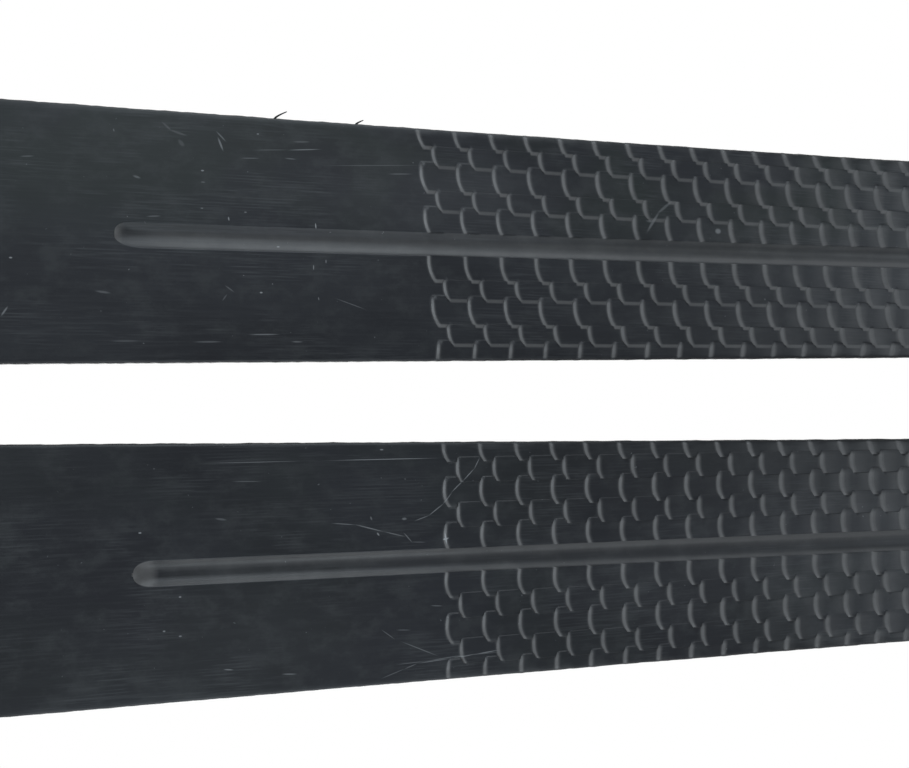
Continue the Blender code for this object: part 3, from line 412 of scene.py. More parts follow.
class Finishes:
    """The materials of the pair, each made once when it is first asked for."""

    def __init__(self) -> None:
        self.made: dict[str, bpy.types.Material] = {}

    def get(self, name: str) -> bpy.types.Material:
        """The material of that name."""
        if name not in self.made:
            self.made[name] = getattr(self, name)()
        return self.made[name]

    def laminate(self) -> bpy.types.Material:
        """Resin-rich glass fibre whose strands run along the ski."""
        paint = Paint("glass_laminate", Roughness=0.42, Coat_Weight=0.3)
        strands = paint.noise((40, 2500, 2500), 2)
        cloud = paint.noise((30, 200, 200), 3)
        colour = paint.mix(strands, (0.30, 0.27, 0.12), (0.52, 0.48, 0.27))
        colour = paint.mix(cloud.step(0.35, 0.75) * 0.5, colour, (0.38, 0.33, 0.15))
        paint.surface(colour, 0.34 + strands * 0.22)
        paint.bump(strands, 0.3, 0.05 * MM)
        return paint.material

    def core_wood(self) -> bpy.types.Material:
        """Light laminated wood, its grain along the ski."""
        paint = Paint("core_wood", Roughness=0.7)
        grain = paint.noise((12, 900, 900), 4, 0.6, 0.4)
        fibre = paint.noise((60, 4000, 4000), 2)
        colour = paint.mix(grain, (0.36, 0.22, 0.10), (0.62, 0.45, 0.26))
        paint.surface(paint.mix(fibre * 0.4, colour, (0.25, 0.15, 0.07)), 0.6 + fibre * 0.2)
        paint.bump(grain, 0.25, 0.1 * MM)
        return paint.material

    def sidewall(self) -> bpy.types.Material:
        """Black side wall plastic, planed along the ski."""
        paint = Paint("sidewall_plastic", Specular_IOR_Level=0.45)
        planed = paint.noise((14, 3500, 3500), 3, 0.7)
        cloud = paint.noise((18, 60, 60), 3)
        scuffs = paint.noise((70, 1500, 1500), 4, 0.7).step(0.66, 0.78)
        colour = paint.mix(cloud, (0.020, 0.021, 0.023), (0.040, 0.041, 0.044))
        colour = paint.mix(scuffs * 0.55, colour, (0.11, 0.11, 0.115))
        paint.surface(colour, 0.36 + planed * 0.18 + scuffs * 0.15)
        paint.bump(planed, 0.35, 0.04 * MM)
        return paint.material

    def end_plastic(self) -> bpy.types.Material:
        """Moulded plastic of the tips and tails, with a fine grain and rubbed places."""
        return self.moulded("end_plastic", (0.028, 0.028, 0.031), (0.058, 0.058, 0.062), 0.48)

    def binding_plastic(self) -> bpy.types.Material:
        """Glass-filled plastic of the binding, finely grained."""
        return self.moulded("binding_plastic", (0.042, 0.044, 0.049), (0.056, 0.059, 0.065), 0.42)

    def lever(self) -> bpy.types.Material:
        """Red lever plastic, polished by gloves on its high places."""
        return self.moulded("lever_red", (0.40, 0.016, 0.018), (0.46, 0.021, 0.022), 0.30)

    @staticmethod
    def moulded(name: str, dark: Point, light: Point, rough: float) -> bpy.types.Material:
        """A moulded plastic with spark-eroded grain, flow clouds and small scratches.

        Args:
            name: The material's name.
            dark: Its darker colour.
            light: Its lighter colour.
            rough: Its mean roughness.

        Returns:
            The material.
        """
        paint = Paint(name, Specular_IOR_Level=0.5)
        grain = paint.noise((3200, 3200, 3200), 2, 0.6)
        cloud = paint.noise((90, 90, 90), 4, 0.6, 0.3)
        rubbed = paint.noise((420, 900, 420), 4, 0.75).step(0.64, 0.76)
        colour = paint.mix(cloud.step(0.3, 0.7), dark, light)
        lifted = tuple(min(1.0, part * 1.7 + 0.02) for part in light)
        colour = paint.mix(rubbed * 0.45, colour, lifted)
        paint.surface(colour, rough - 0.07 + grain * 0.16 + rubbed * 0.08)
        paint.bump(grain, 0.4, 0.05 * MM)
        return paint.material

    def steel(self) -> bpy.types.Material:
        """Zinc-plated steel with fine brushing and dull spots."""
        paint = Paint("steel", Metallic=1.0)
        brushed = paint.noise((600, 9000, 2500), 2, 0.6)
        cloud = paint.noise((300, 300, 300), 4, 0.6)
        colour = paint.mix(cloud.step(0.3, 0.75), (0.50, 0.50, 0.51), (0.68, 0.68, 0.69))
        paint.surface(colour, 0.20 + brushed * 0.14 + cloud.step(0.5, 0.8) * 0.14)
        paint.bump(brushed, 0.2, 0.02 * MM)
        return paint.material

    def flexor(self) -> bpy.types.Material:
        """Black rubber, dull and a little dusty."""
        paint = Paint("flexor_rubber", Specular_IOR_Level=0.35)
        grain = paint.noise((2400, 2400, 2400), 3, 0.7)
        dust = paint.noise((160, 160, 160), 5, 0.7).step(0.45, 0.8)
        colour = paint.mix(dust * 0.5, (0.013, 0.013, 0.014), (0.045, 0.044, 0.042))
        paint.surface(colour, 0.62 + grain * 0.2)
        paint.bump(grain, 0.5, 0.08 * MM)
        return paint.material

    def top_sheet(self) -> bpy.types.Material:
        """Red printed top sheet under a clear coat, black towards its ends, with fine flake."""
        paint = Paint("top_sheet_red", Coat_Weight=0.35, Coat_Roughness=0.08)
        flake = paint.noise((5200, 5200, 5200), 1, 0.5)
        cloud = paint.noise((6, 40, 40), 3)
        hairs = paint.noise((120, 5200, 800), 3, 0.7).step(0.70, 0.80)
        along = abs(paint.axis("X"))
        ends = along.step(0.52, 0.60)
        colour = paint.mix(cloud, (0.27, 0.008, 0.011), (0.36, 0.014, 0.016))
        colour = paint.mix(flake.step(0.60, 0.75) * 0.30, colour, (0.58, 0.08, 0.07))
        black = paint.mix(flake.step(0.60, 0.75), (0.018, 0.019, 0.022), (0.075, 0.078, 0.085))
        colour = paint.mix(ends, colour, black)
        line = abs(along - 0.606).step(0.0026, 0.0020) + abs(along - 0.616).step(0.0013, 0.0008)
        colour = paint.mix(line, colour, (0.62, 0.62, 0.60))
        paint.surface(paint.mix(hairs * 0.3, colour, (0.6, 0.55, 0.55)), 0.30 + hairs * 0.25)
        paint.bump(flake, 0.1, 0.02 * MM)
        return paint.material

    def running_base(self, side: Side) -> bpy.types.Material:
        """Graphite running base: ground along the ski and scratched, with worn grey and painted
        highlights on the steps and lit walls, and painted shade on the dim walls, the edges and near
        the other ski.
        """
        paint = Paint(side.named("base_graphite"), Specular_IOR_Level=0.5)
        # The mesh's number read here: above 0, painted highlight, partly wear, on step faces and lit
        # walls; below 0, painted shade on dim walls and edges, and the dark colour of the edge
        # hairs.
        wear_and_light = paint.attribute("wear_and_light")
        cloud = paint.noise((22, 34, 34), 4, 0.6, 0.2)
        far = abs(paint.axis("Y"))
        tint = paint.noise((34, 48, 34), 2).step(0.42, 0.62)
        tint = tint * (0.35 if side is Side.LEFT else far.step(0.024, 0.044))
        mottle = paint.noise((180, 260, 180), 4, 0.65)
        ground = paint.noise((46, 4300, 300), 2, 0.6)
        lines = paint.noise((110, 2000, 150), 2, 0.6)
        patchy = paint.noise((50, 80, 50), 2).step(0.44, 0.62)
        hairs = paint.noise((75, 3600, 200), 3, 0.7).step(0.62, 0.74) * patchy
        colour = paint.mix(
            tint,
            paint.mix(cloud.step(0.32, 0.68), (0.0145, 0.0160, 0.0205), (0.0235, 0.0260, 0.0315)),
            paint.mix(cloud.step(0.32, 0.68), (0.0150, 0.0185, 0.0190), (0.0235, 0.0290, 0.0295)),
        )
        drawn = lines.step(0.48, 0.66) * (0.06 + patchy * 0.26)
        colour = paint.mix(drawn, colour, (0.062, 0.067, 0.072))
        colour = paint.mix(mottle.step(0.44, 0.72) * 0.52, colour, (0.044, 0.048, 0.051))
        waves = (paint.axis("Y") * 10400 + paint.noise((60, 300, 60), 2) * 4).math("SINE")
        short = paint.noise((150, 900, 150), 2)
        fine = short.step(0.34, 0.58) * self.nearness(paint, GROUND[side])
        short = (short.step(0.45, 0.62) * patchy * 0.6).most(fine)
        colour = paint.mix(waves.step(0.2, 0.95) * short * 0.50, colour, (0.075, 0.080, 0.085))
        colour = paint.mix(hairs * 0.35, colour, (0.095, 0.10, 0.105))
        # Painted shade: darker near the gap between the skis, more so towards the tips.
        painted_gap_shade = far.step(0.032, 0.006) * (paint.axis("X").step(-0.32, -0.24) * 0.26 + 0.24)
        colour = paint.mix(painted_gap_shade, colour, (0.006, 0.0065, 0.008))
        # Painted highlight, partly wear: light grey on the step faces and lit walls.
        wear_and_highlight = wear_and_light * (0.55 + mottle * 0.85)
        colour = paint.mix(wear_and_highlight.held(1.0), colour, (0.1245, 0.1235, 0.1240))
        # Painted shade: nearly black on the dim walls and the base's edges.
        colour = paint.mix(wear_and_light.held(-1.0), colour, (0.006, 0.007, 0.008))
        marks = self.marks(paint, MARKS[side])
        colour = paint.mix(marks, colour, (0.30, 0.31, 0.32))
        paint.surface(colour, 0.36 + lines * 0.12 + hairs * 0.15 + marks * 0.1)
        paint.bump(ground, 0.28, 0.020 * MM)
        paint.bump(lines, 0.35, 0.030 * MM)
        paint.bump(mottle, 0.20, 0.030 * MM)
        return paint.material

    @staticmethod
    def nearness(paint: Paint, row: Sequence[float]) -> Value:
        """How much of a mark lies at each place: its strength in its middle, 0 beside it.

        Args:
            paint: The node tree that the nodes go into.
            row: The numbers of the mark.

        Returns:
            The value at each place.
        """
        mark = Mark(*row)
        way = Vector((mark.x1 - mark.x0, mark.y1 - mark.y0)) * MM
        half = mark.width * MM / 2
        any_height = 1000
        sockets = {
            "Vector": paint.place,
            "Location": ((mark.x0 + mark.x1) / 2 * MM, (mark.y0 + mark.y1) / 2 * MM, 0),
            "Rotation": (0, 0, math.atan2(way.y, way.x)),
            "Scale": (way.length / 2 + half, half, any_height),
        }
        near = paint.value("ShaderNodeMapping", {"vector_type": "TEXTURE"}, sockets)
        far = paint.value("ShaderNodeVectorMath", {"operation": "LENGTH"}, {0: near}, "Value")
        return far.step(1.1, 0.4) * mark.strength

    def marks(self, paint: Paint, rows: Sequence[Sequence[float]]) -> Value:
        """How strongly each place is marked, from 0 to 1: fine specks and the single marks."""
        total = paint.noise((1300, 1300, 1300), 2, 0.5).step(0.75, 0.80) * 0.4
        for row in rows:
            total = total.most(self.nearness(paint, row))
        return total


FINISHES = Finishes()


class Piece:
    """A mesh piece on the bench, shaped with Blender's own tools one step after another."""

    def __init__(self, obj: bpy.types.Object, name: str) -> None:
        self.obj = obj
        obj.name = name
        obj.data.name = name

    @property
    def mesh(self) -> bpy.types.Mesh:
        """The piece's mesh."""
        return self.obj.data

    @property
    def points(self) -> np.ndarray:
        """The coordinates of the mesh's points."""
        flat = np.empty(len(self.mesh.vertices) * 3)
        self.mesh.vertices.foreach_get("co", flat)
        return flat.reshape(-1, 3)

    @points.setter
    def points(self, places: np.ndarray) -> None:
        self.mesh.vertices.foreach_set("co", places.ravel())

    @staticmethod
    def clear() -> None:
        """Deselects everything."""
        bpy.ops.object.select_all(action="DESELECT")

    @classmethod
    def added(cls, name: str) -> Piece:
        """The object that a primitive operator has just added, with its place in its mesh."""
        obj = bpy.context.active_object
        bpy.ops.object.transform_apply(location=True, rotation=True, scale=True)
        return cls(obj, name)

    @classmethod
    def block(cls, name: str, corner: Point, other: Point) -> Piece:
        """A block between two opposite corners."""
        cls.clear()
        centre = [(a + b) / 2 for a, b in zip(corner, other)]
        size = [abs(b - a) for a, b in zip(corner, other)]
        bpy.ops.mesh.primitive_cube_add(size=1, location=centre, scale=size)
        return cls.added(name)

    @classmethod
    def outline(cls, name: str, corners: Sequence[Point], push: Point) -> Piece:
        """A flat outline through 3-D corners, extruded by push."""
        cls.clear()
        bpy.ops.mesh.primitive_circle_add(vertices=len(corners), radius=1, fill_type="NGON")
        piece = cls.added(name)
        piece.points = np.array(corners, float)
        with piece.edited():
            bpy.ops.mesh.select_all(action="SELECT")
            bpy.ops.mesh.extrude_region_move(TRANSFORM_OT_translate={"value": tuple(push)})
        return piece.outward()

    @classmethod
    def profile(cls, name: str, corners: Sequence[Point], low: float, high: float) -> Piece:
        """A piece with an (x, z) outline, from one place across the ski to another."""
        return cls.outline(name, [(x, low, z) for x, z in corners], (0, high - low, 0))

    @classmethod
    def rod(cls, name: str, start: Point, end: Point, radius: float, sides: int = 32) -> Piece:
        """A closed rod between two places."""
        cls.clear()
        way = Vector(end) - Vector(start)
        bpy.ops.mesh.primitive_cylinder_add(
            vertices=sides,
            radius=radius,
            depth=way.length,
            location=(Vector(start) + Vector(end)) / 2,
            rotation=way.to_track_quat("Z", "Y").to_euler(),
        )
        return cls.added(name)

    @classmethod
    def turned(cls, name: str, profile: Sequence[Point], sides: int = 32) -> Piece:
        """A solid of revolution about Z through (radius, height) corners."""
        angles = np.arange(sides) * 2 * np.pi / sides
        rings = [
            np.stack([r * np.cos(angles), r * np.sin(angles), np.full(sides, z)], axis=-1)
            for r, z in profile
        ]
        return cls.swept(name, np.array(rings))

    @classmethod
    def swept(
        cls, name: str, rings: np.ndarray, marks: dict[str, np.ndarray] | None = None
    ) -> Piece:
        """A grid wrapped into a closed tube through rings of corners, with its ends filled.

        Args:
            name: The piece's name.
            rings: Corners by ring, corner and axis; each ring is closed by itself.
            marks: Numbers by ring and corner, kept on the mesh under their names.

        Returns:
            The piece.
        """
        cls.clear()
        count, corners = rings.shape[:2]
        bpy.ops.mesh.primitive_grid_add(x_subdivisions=corners, y_subdivisions=count - 1, size=1)
        piece = cls.added(name)
        grid = piece.points
        column = np.rint((grid[:, 0] + 0.5) * corners).astype(int) % corners
        row = np.rint((grid[:, 1] + 0.5) * (count - 1)).astype(int)
        piece.points = rings[row, column]
        for key, numbers in (marks or {}).items():
            kept = piece.mesh.attributes.new(key, "FLOAT", "POINT")
            kept.data.foreach_set("value", numbers[row, column].astype(np.float32))
        with piece.edited():
            bpy.ops.mesh.select_all(action="SELECT")
            bpy.ops.mesh.remove_doubles(threshold=1e-7)
            bpy.ops.mesh.select_all(action="SELECT")
            bpy.ops.mesh.fill_holes(sides=0)
        return piece.outward()

    def alone(self, *others: Piece) -> None:
        """Selects this piece, and others if they are given, and makes this one active."""
        self.clear()
        for piece in (*others, self):
            piece.obj.select_set(True)
        bpy.context.view_layer.objects.active = self.obj

    @contextmanager
    def edited(self, kind: str = "VERT") -> Iterator[None]:
        """Edit mode with nothing selected, for the time of a with block."""
        self.alone()
        bpy.ops.object.mode_set(mode="EDIT")
        bpy.ops.mesh.select_mode(type=kind)
        bpy.ops.mesh.select_all(action="DESELECT")
        yield
        bpy.ops.object.mode_set(mode="OBJECT")

    def outward(self) -> Piece:
        """Turns all faces outwards."""
        with self.edited():
            bpy.ops.mesh.select_all(action="SELECT")
            bpy.ops.mesh.normals_make_consistent(inside=False)
        return self

    def set_in(self, test: Test, thickness: float, depth: float) -> Piece:
        """Insets the faces whose centre and normal pass a test, and sinks them by depth."""
        with self.edited("FACE"):
            bm = bmesh.from_edit_mesh(self.mesh)
            for face in bm.faces:
                face.select_set(test(face.calc_center_median(), face.normal))
            bmesh.update_edit_mesh(self.mesh)
            bpy.ops.mesh.inset(thickness=thickness, depth=-depth)
        return self

    def round_edges(self, width: float, test: Test) -> Piece:
        """Bevels the edges whose two ends pass a test."""
        with self.edited("EDGE"):
            bm = bmesh.from_edit_mesh(self.mesh)
            for edge in bm.edges:
                edge.select_set(test(edge.verts[0].co, edge.verts[1].co))
            bmesh.update_edit_mesh(self.mesh)
            bpy.ops.mesh.bevel(offset=width, segments=4, affect="EDGES")
        return self

    def modify(self, kind: str, **settings: Any) -> Piece:
        """Adds a modifier and applies it."""
        self.alone()
        modifier = self.obj.modifiers.new(kind.lower(), kind)
        for key, value in settings.items():
            setattr(modifier, key, value)
        bpy.ops.object.modifier_apply(modifier=modifier.name)
        return self

    def soften(self, width: float, segments: int = 2, angle: float = 30) -> Piece:
        """Rounds every edge that is sharper than an angle in degrees."""
        return self.modify(
            "BEVEL",
            width=width,
            segments=segments,
            limit_method="ANGLE",
            angle_limit=math.radians(angle),
            use_clamp_overlap=True,
        )

    def combine(self, operation: str, *tools: Piece) -> Piece:
        """Joins or cuts the piece with others, which are used up."""
        for tool in tools:
            self.modify("BOOLEAN", operation=operation, object=tool.obj, solver="EXACT")
            mesh = tool.mesh
            bpy.data.objects.remove(tool.obj, do_unlink=True)
            bpy.data.meshes.remove(mesh)
        return self

    def together(self, *others: Piece) -> Piece:
        """Takes other closed meshes into this one, without cutting them."""
        self.alone(*others)
        bpy.ops.object.join()
        return self

    def bend(self, change: Callable[[np.ndarray], np.ndarray]) -> Piece:
        """Moves all points by a function of their coordinates."""
        self.points = change(self.points)
        self.mesh.update()
        return self

    def moved(self, matrix: Matrix) -> Piece:
        """Moves the piece's mesh."""
        self.mesh.transform(matrix)
        return self

    def copied(self, name: str, matrix: Matrix) -> Piece:
        """A copy with its own mesh, moved by a matrix."""
        obj = self.obj.copy()
        obj.data = self.mesh.copy()
        bpy.context.scene.collection.objects.link(obj)
        return Piece(obj, name).moved(matrix)

    def finish(
        self,
        material: bpy.types.Material,
        slot: str,
        node: str,
        angle: float = 35,
        weighted: bool = True,
    ) -> None:
        """Shades the piece, dresses it and hangs it on the body of the node it stands for.

        Args:
            material: Its material.
            slot: The record's slot that the finish belongs to; not used.
            node: The frame's node that it replaces.
            angle: Edges sharper than this, in degrees, stay sharp.
            weighted: Whether its large faces stay level up to their rounded edges.
        """
        self.mesh.materials.clear()
        self.mesh.materials.append(material)
        self.alone()
        bpy.ops.object.shade_smooth_by_angle(angle=math.radians(angle))
        body = frame["nodes"][node]["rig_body"]
        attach(self.obj, body)
        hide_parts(node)
        LOG.info("%s: %d faces, rides on %s", self.obj.name, len(self.mesh.polygons), body)
        if weighted:
            self.modify("WEIGHTED_NORMAL", weight=80, keep_sharp=True)


@dataclass(frozen=True)
class Grip:
    """The scales of the grip zone, in millimetres across and along the ski.

    Attributes:
        start: Place of the first even step.
        pitch: Distance of a row of scales from the next.
        stagger: How far the odd lanes' steps lie ahead of the even lanes'.
        height: How far a scale stands out at its step.
        lane: Distance of a lane's middle from the next lane's.
        rows: Number of rows.
        face: Length of a step's sloped face.
        even_reach: Half the width of an even lane's scale.
        odd_reach: Half the width of an odd lane's scale.
        face_places: Places of the corners on a step, from its middle, as shares of face.
        face_shares: How much of the step has risen at each of them.
        wear_and_highlight_rows: Rows for which the face lightening is given; rows between lie
            between.
        face_wear_and_highlight: How much each of face_places is lightened, for each of those rows: a
            painted highlight where the step's face catches the light, partly wear.
    """

    start: float = 620.0
    pitch: float = 7.54
    stagger: float = 2.8
    height: float = 0.45
    lane: float = 4.5
    rows: int = 71
    face: float = 0.80
    even_reach: float = 3.0
    odd_reach: float = 2.5
    face_places: tuple[float, ...] = (-0.85, -0.5, -0.2, 0.2, 0.5, 0.85, 1.2)
    face_shares: tuple[float, ...] = (0.0, 0.0, 0.22, 0.84, 1.0, 1.0, 1.0)
    wear_and_highlight_rows: tuple[float, ...] = (0, 8, 15)
    face_wear_and_highlight: tuple[tuple[float, ...], ...] = (
        (0.0, 0.15, 1.0, 1.0, 0.30, 0.0, 0.0),
        (0.08, 0.45, 0.95, 0.95, 0.75, 0.30, 0.0),
        (0.35, 0.75, 0.90, 0.90, 0.90, 0.75, 0.45),
    )

    @property
    def end(self) -> float:
        """Place where the last row ends."""
        return self.start + self.rows * self.pitch


class Row(NamedTuple):
    """A row of corners across the base: its lanes' family ("even", "odd" or "plain"), the number
    of the scale row, its place along the ski, how much of the step has risen and how much the
    step is lightened, a painted highlight that is partly wear.
    """

    family: str
    index: int
    at: float
    share: float = 0
    wear_and_highlight: float = 0


class Kind(IntEnum):
    """Where on the base a corner lies."""

    FLAT = 0
    WALL = 1
    GROOVE = 2


@dataclass
class RunningBase:
    """A ski's running base with its groove and scales, in millimetres until it is swept.

    Attributes:
        side: The foot that the ski is for.
        skew: How far the rows run ahead, per length towards +Y.
        lit: Way that the lit walls between lanes face, as a sign.
        lit_wall: Width of those walls.
        dim_wall: Width of the other walls.
        lit_wall_highlight: Painted highlight on the lit walls.
        sags: How far the -Y and +Y ends of even steps lie ahead, and those of odd steps.
        apex: Where a step lies rearmost, as a share of its half width.
        overlaps: How far odd scales reach under even ones, on their -Y and on their +Y side.
        groove_depths: Depth at each of groove_places, as a share of groove_depth.
        groove_painted_light: Painted light and shade at each of them, lightening or darkening the
            groove.
        groove_later: Painted light and shade that is added far from the groove's end.
        groove_from: Place of the groove's closed rear end.
        spoon: Lengths over which the -Y and +Y sides of the groove reach their full width.
        crescent: Length of the painted highlight, a light crescent, at the groove's rear end.
        burrs: World place along X and reach of each hair on the outer edge.
        edge_lean: How far the outermost +Y steps lie ahead at their inner ends.
        grip: The scales.
        groove_half: Half the groove's width.
        groove_depth: Its full depth.
        groove_to: Place of its front end.
        slit: Share of its width that its corners keep beyond its ends.
        slit_fade: Length over which they spread again.
        lanes_half: Least half width that the lanes are laid out for.
        spoon_depth: Length over which the groove reaches its full depth.
        groove_places: Places of the corners across the groove, as shares of its half width.
        wall_places: Places of the corners on a wall, as shares of its half width.
        inner_shares: Places of the corners on a lane, from one wall to the next.
        outer_shares: The same for the outermost lanes.
        edge_steps: Inset and lift of the corners at each edge of the base.
        groove_lane: Number of the lane that the groove takes up.
        last_lane: Number of the last lane; the first is 0.
    """

    side: Side
    skew: float
    lit: int
    lit_wall: float
    dim_wall: float
    lit_wall_highlight: float
    sags: tuple[tuple[float, float], tuple[float, float]]
    apex: float
    overlaps: tuple[float, float]
    groove_depths: tuple[float, ...]
    groove_painted_light: tuple[float, ...]
    groove_later: tuple[float, ...]
    groove_from: float
    spoon: tuple[float, float]
    crescent: float
    burrs: tuple[Point, ...] = ()
    edge_lean: float = 0.0
    grip: Grip = field(default_factory=Grip)
    groove_half: float = 2.4
    groove_depth: float = 1.3
    groove_to: float = 1600.0
    slit: float = 0.12
    slit_fade: float = 12.0
    lanes_half: float = 21.6
    spoon_depth: float = 5.0
    groove_places: tuple[float, ...] = (
        -1.05, -1, -0.93, -0.84, -0.72, -0.55, -0.3, 0, 0.3, 0.55, 0.72, 0.84, 0.93, 1, 1.05,
    )
    wall_places: tuple[float, ...] = (-1.0, -0.4, 0.4, 1.0)
    inner_shares: tuple[float, ...] = (1 / 6, 2 / 6, 3 / 6, 4 / 6, 5 / 6)
    outer_shares: tuple[float, ...] = (0.25, 0.5, 0.75)
    edge_steps: tuple[tuple[float, float], ...] = ((0.0, 0.42), (0.16, 0.13), (0.6, 0.0))
    groove_lane: int = 5
    last_lane: int = 10

    def centre(self, lane: Any) -> Any:
        """Place across the ski of a lane's middle."""
        return (lane - self.groove_lane) * self.grip.lane

    def wall_at(self, boundary: int, even_share: float) -> float:
        """Place across the ski of the wall between a lane and the next.

        Args:
            boundary: Number of the lane on the wall's -Y side.
            even_share: 1 where the even lane's scale stands out, 0 where the odd lane's does.

        Returns:
            The wall's middle. An odd scale reaches under its neighbours by the overlaps.
        """
        is_even = boundary % 2 == 0
        overlap = self.overlaps[0 if is_even else 1]
        reach = self.grip.even_reach - overlap * (1 - even_share)
        return self.centre(boundary) + reach if is_even else self.centre(boundary + 1) - reach

    def groove_at(self, s: float) -> tuple[float, np.ndarray, float]:
        """The groove's spoon-shaped course.

        Args:
            s: A place along the ski.

        Returns:
            Distance from the groove's end, shares of its full half width on the -Y and on the +Y
            side, and share of its full depth.
        """
        round_plan, round_depth = 2.4, 1.7
        inside = min(s - self.groove_from, self.groove_to - s)
        if inside <= 0:
            spread = float(ease(-inside / self.slit_fade))
            return inside, np.full(2, self.slit + (1 - self.slit) * spread), 0.0
        to_wide = 1 - np.minimum(inside / np.array(self.spoon), 1)
        to_deep = 1 - min(inside / self.spoon_depth, 1)
        wide = np.maximum(self.slit, (1 - to_wide**round_plan) ** (1 / round_plan))
        return inside, wide, (1 - to_deep**round_depth) ** (1 / round_depth)

    def scale_height(self, ahead: Any) -> Any:
        """How far a scale stands out, at a distance ahead of its step."""
        grip = self.grip
        return grip.height * np.clip(1 - np.maximum(ahead, 0) / grip.pitch, 0, 1)

    def bow(self, from_middle: np.ndarray, half_scale: float, sags: Point) -> np.ndarray:
        """How far each place of a step lies ahead of the step's rearmost place.

        Args:
            from_middle: Distances across the ski from the scale's middle.
            half_scale: Half the scale's width.
            sags: How far the step's -Y end and its +Y end lie ahead.

        Returns:
            The distances, which run on from one scale's end to the next.
        """
        share = from_middle / half_scale - self.apex
        to_low = sags[0] * (share / (1 + self.apex)) ** 2
        bowed = np.where(share > 0, sags[1] * (share / (1 - self.apex)) ** 2, to_low)
        beyond = (np.abs(from_middle) - half_scale) / (self.grip.lane - half_scale)
        ends = np.where(from_middle > 0, sags[1], sags[0])
        on_way = ends + (sum(sags) / 2 - ends) * np.minimum(beyond, 1)
        return np.where(beyond > 0, on_way, bowed)

    def plain_places(self) -> list[float]:
        """Places of the rows outside the grip zone, closest together at the groove's ends."""
        low, high = SHAPE.layers_from / MM, SHAPE.layers_to / MM
        fine_from, tip_from = 535, high - 200
        far, near, at_tip, least = 9.0, 1.0, 4.0, 0.08
        places = list(np.arange(low, fine_from, far))
        places += list(np.arange(fine_from, self.grip.start - 1.2, near))
        places += list(np.arange(self.grip.end + 7, tip_from, far))
        places += list(np.arange(tip_from, high, at_tip)) + [high]
        steps = (-6, -3, -1.2, -0.3, 0.02, 0.12, 0.3, 0.55, 0.9, 1.4, 2, 2.7, 3.5, 4.4, 5.5)
        for step in (*steps, 7.5, 9.5):
            places += [self.groove_from + step, self.groove_to - step]
        kept = [low - far]
        for place in sorted(places):
            if place - kept[-1] > least:
                kept.append(place)
        return kept[1:]

    def corners(self, half: float, wide: Point, even_high: bool, even_share: float) -> np.ndarray:
        """The corners of a row, from the base's -Y edge to its +Y edge.

        Args:
            half: Half the width that the lanes are laid out for.
            wide: Shares of the groove's half width on the -Y and on the +Y side.
            even_high: Whether the even lanes stand out more than the odd ones.
            even_share: How far the even lanes' scales set the places of the walls.

        Returns:
            Place across, number of the lane (a fraction on a wall) and kind, of each corner.
        """
        found: list[tuple[float, float, Kind]] = []

        def flats(low: float, high: float, shares: Point, lane: int) -> None:
            """Adds the corners of a lane between its walls."""
            found.extend((low + (high - low) * share, lane, Kind.FLAT) for share in shares)

        def walled(low: float, lanes: range) -> float:
            """Adds lanes, each with the wall after it, and gives the end of the last wall."""
            for lane in lanes:
                middle = self.wall_at(lane, even_share)
                facing = 1 if (lane % 2 == 0) == even_high else -1
                width = (self.lit_wall if facing == self.lit else self.dim_wall) / 2
                shares = self.inner_shares if lane else self.outer_shares
                flats(low, middle - width, shares, lane)
                for at in self.wall_places:
                    found.append((middle + width * at, lane + (at + 1) / 2, Kind.WALL))
                low = middle + width
            return low

        left, right = self.groove_lane - 1, self.groove_lane + 1
        rim_least, inset = 0.3, self.edge_steps[-1][0]
        found.extend((-half + step, 0, Kind.FLAT) for step, _ in self.edge_steps)
        low = walled(-half + inset, range(left))
        lips = self.groove_half * np.array(wide)
        rims = np.maximum(lips * self.groove_places[-1], rim_least)
        flats(low, -rims[0], self.inner_shares, left)
        for at in self.groove_places:
            found.append((at * lips[int(at > 0)], left if at < 0 else right, Kind.GROOVE))
        low = walled(rims[1], range(right, self.last_lane))
        flats(low, half - inset, self.outer_shares, self.last_lane)
        found.extend((half - step, self.last_lane, Kind.FLAT) for step, _ in self.edge_steps[::-1])
        return np.array(found, float).T

    def lane_height(self, row: Row, straight: np.ndarray, lane: np.ndarray) -> np.ndarray:
        """How far the scales of each corner's lane stand out.

        Args:
            row: The row of corners.
            straight: Place of each corner along the ski, before the rows are skewed.
            lane: Number of the lane at each corner.

        Returns:
            The heights, 0 outside the grip zone.
        """
        grip = self.grip
        if row.family == "plain":
            return np.zeros_like(straight)

        def stands(step: float, back: int) -> Any:
            """Height of the scales of this row, or of the one that lies back rows behind."""
            if not 0 <= row.index - back < grip.rows:
                return 0
            return self.scale_height(straight - step + back * grip.pitch)

        is_odd = int(row.family == "odd")
        even_step = grip.start + row.index * grip.pitch
        steps = (even_step, even_step + grip.stagger)
        last = stands(steps[is_odd], 1)
        own = last + (stands(steps[is_odd], 0) - last) * row.share
        return np.where(lane % 2 == is_odd, own, stands(steps[1 - is_odd], 1 - is_odd))

    def step_wear_and_highlight(self, row: Row, lane: np.ndarray, from_end: np.ndarray) -> np.ndarray:
        """Painted highlight, partly wear, of a step's own lanes, which fades towards the -Y end of
        every scale.

        Args:
            row: The row of corners.
            lane: Number of the lane at each corner.
            from_end: Distance of each corner from its scale's -Y end.

        Returns:
            The painted highlight and wear of each corner.
        """
        beside_groove = np.rint(lane) == self.groove_lane + 1
        fade = 1.6 - min(row.index / self.grip.wear_and_highlight_rows[1], 1)
        fading = np.where(beside_groove, 1, np.clip(from_end / fade, 0.1, 1))
        own = np.rint(lane) % 2 == int(row.family == "odd")
        return np.where(own, row.wear_and_highlight * fading, 0.0)

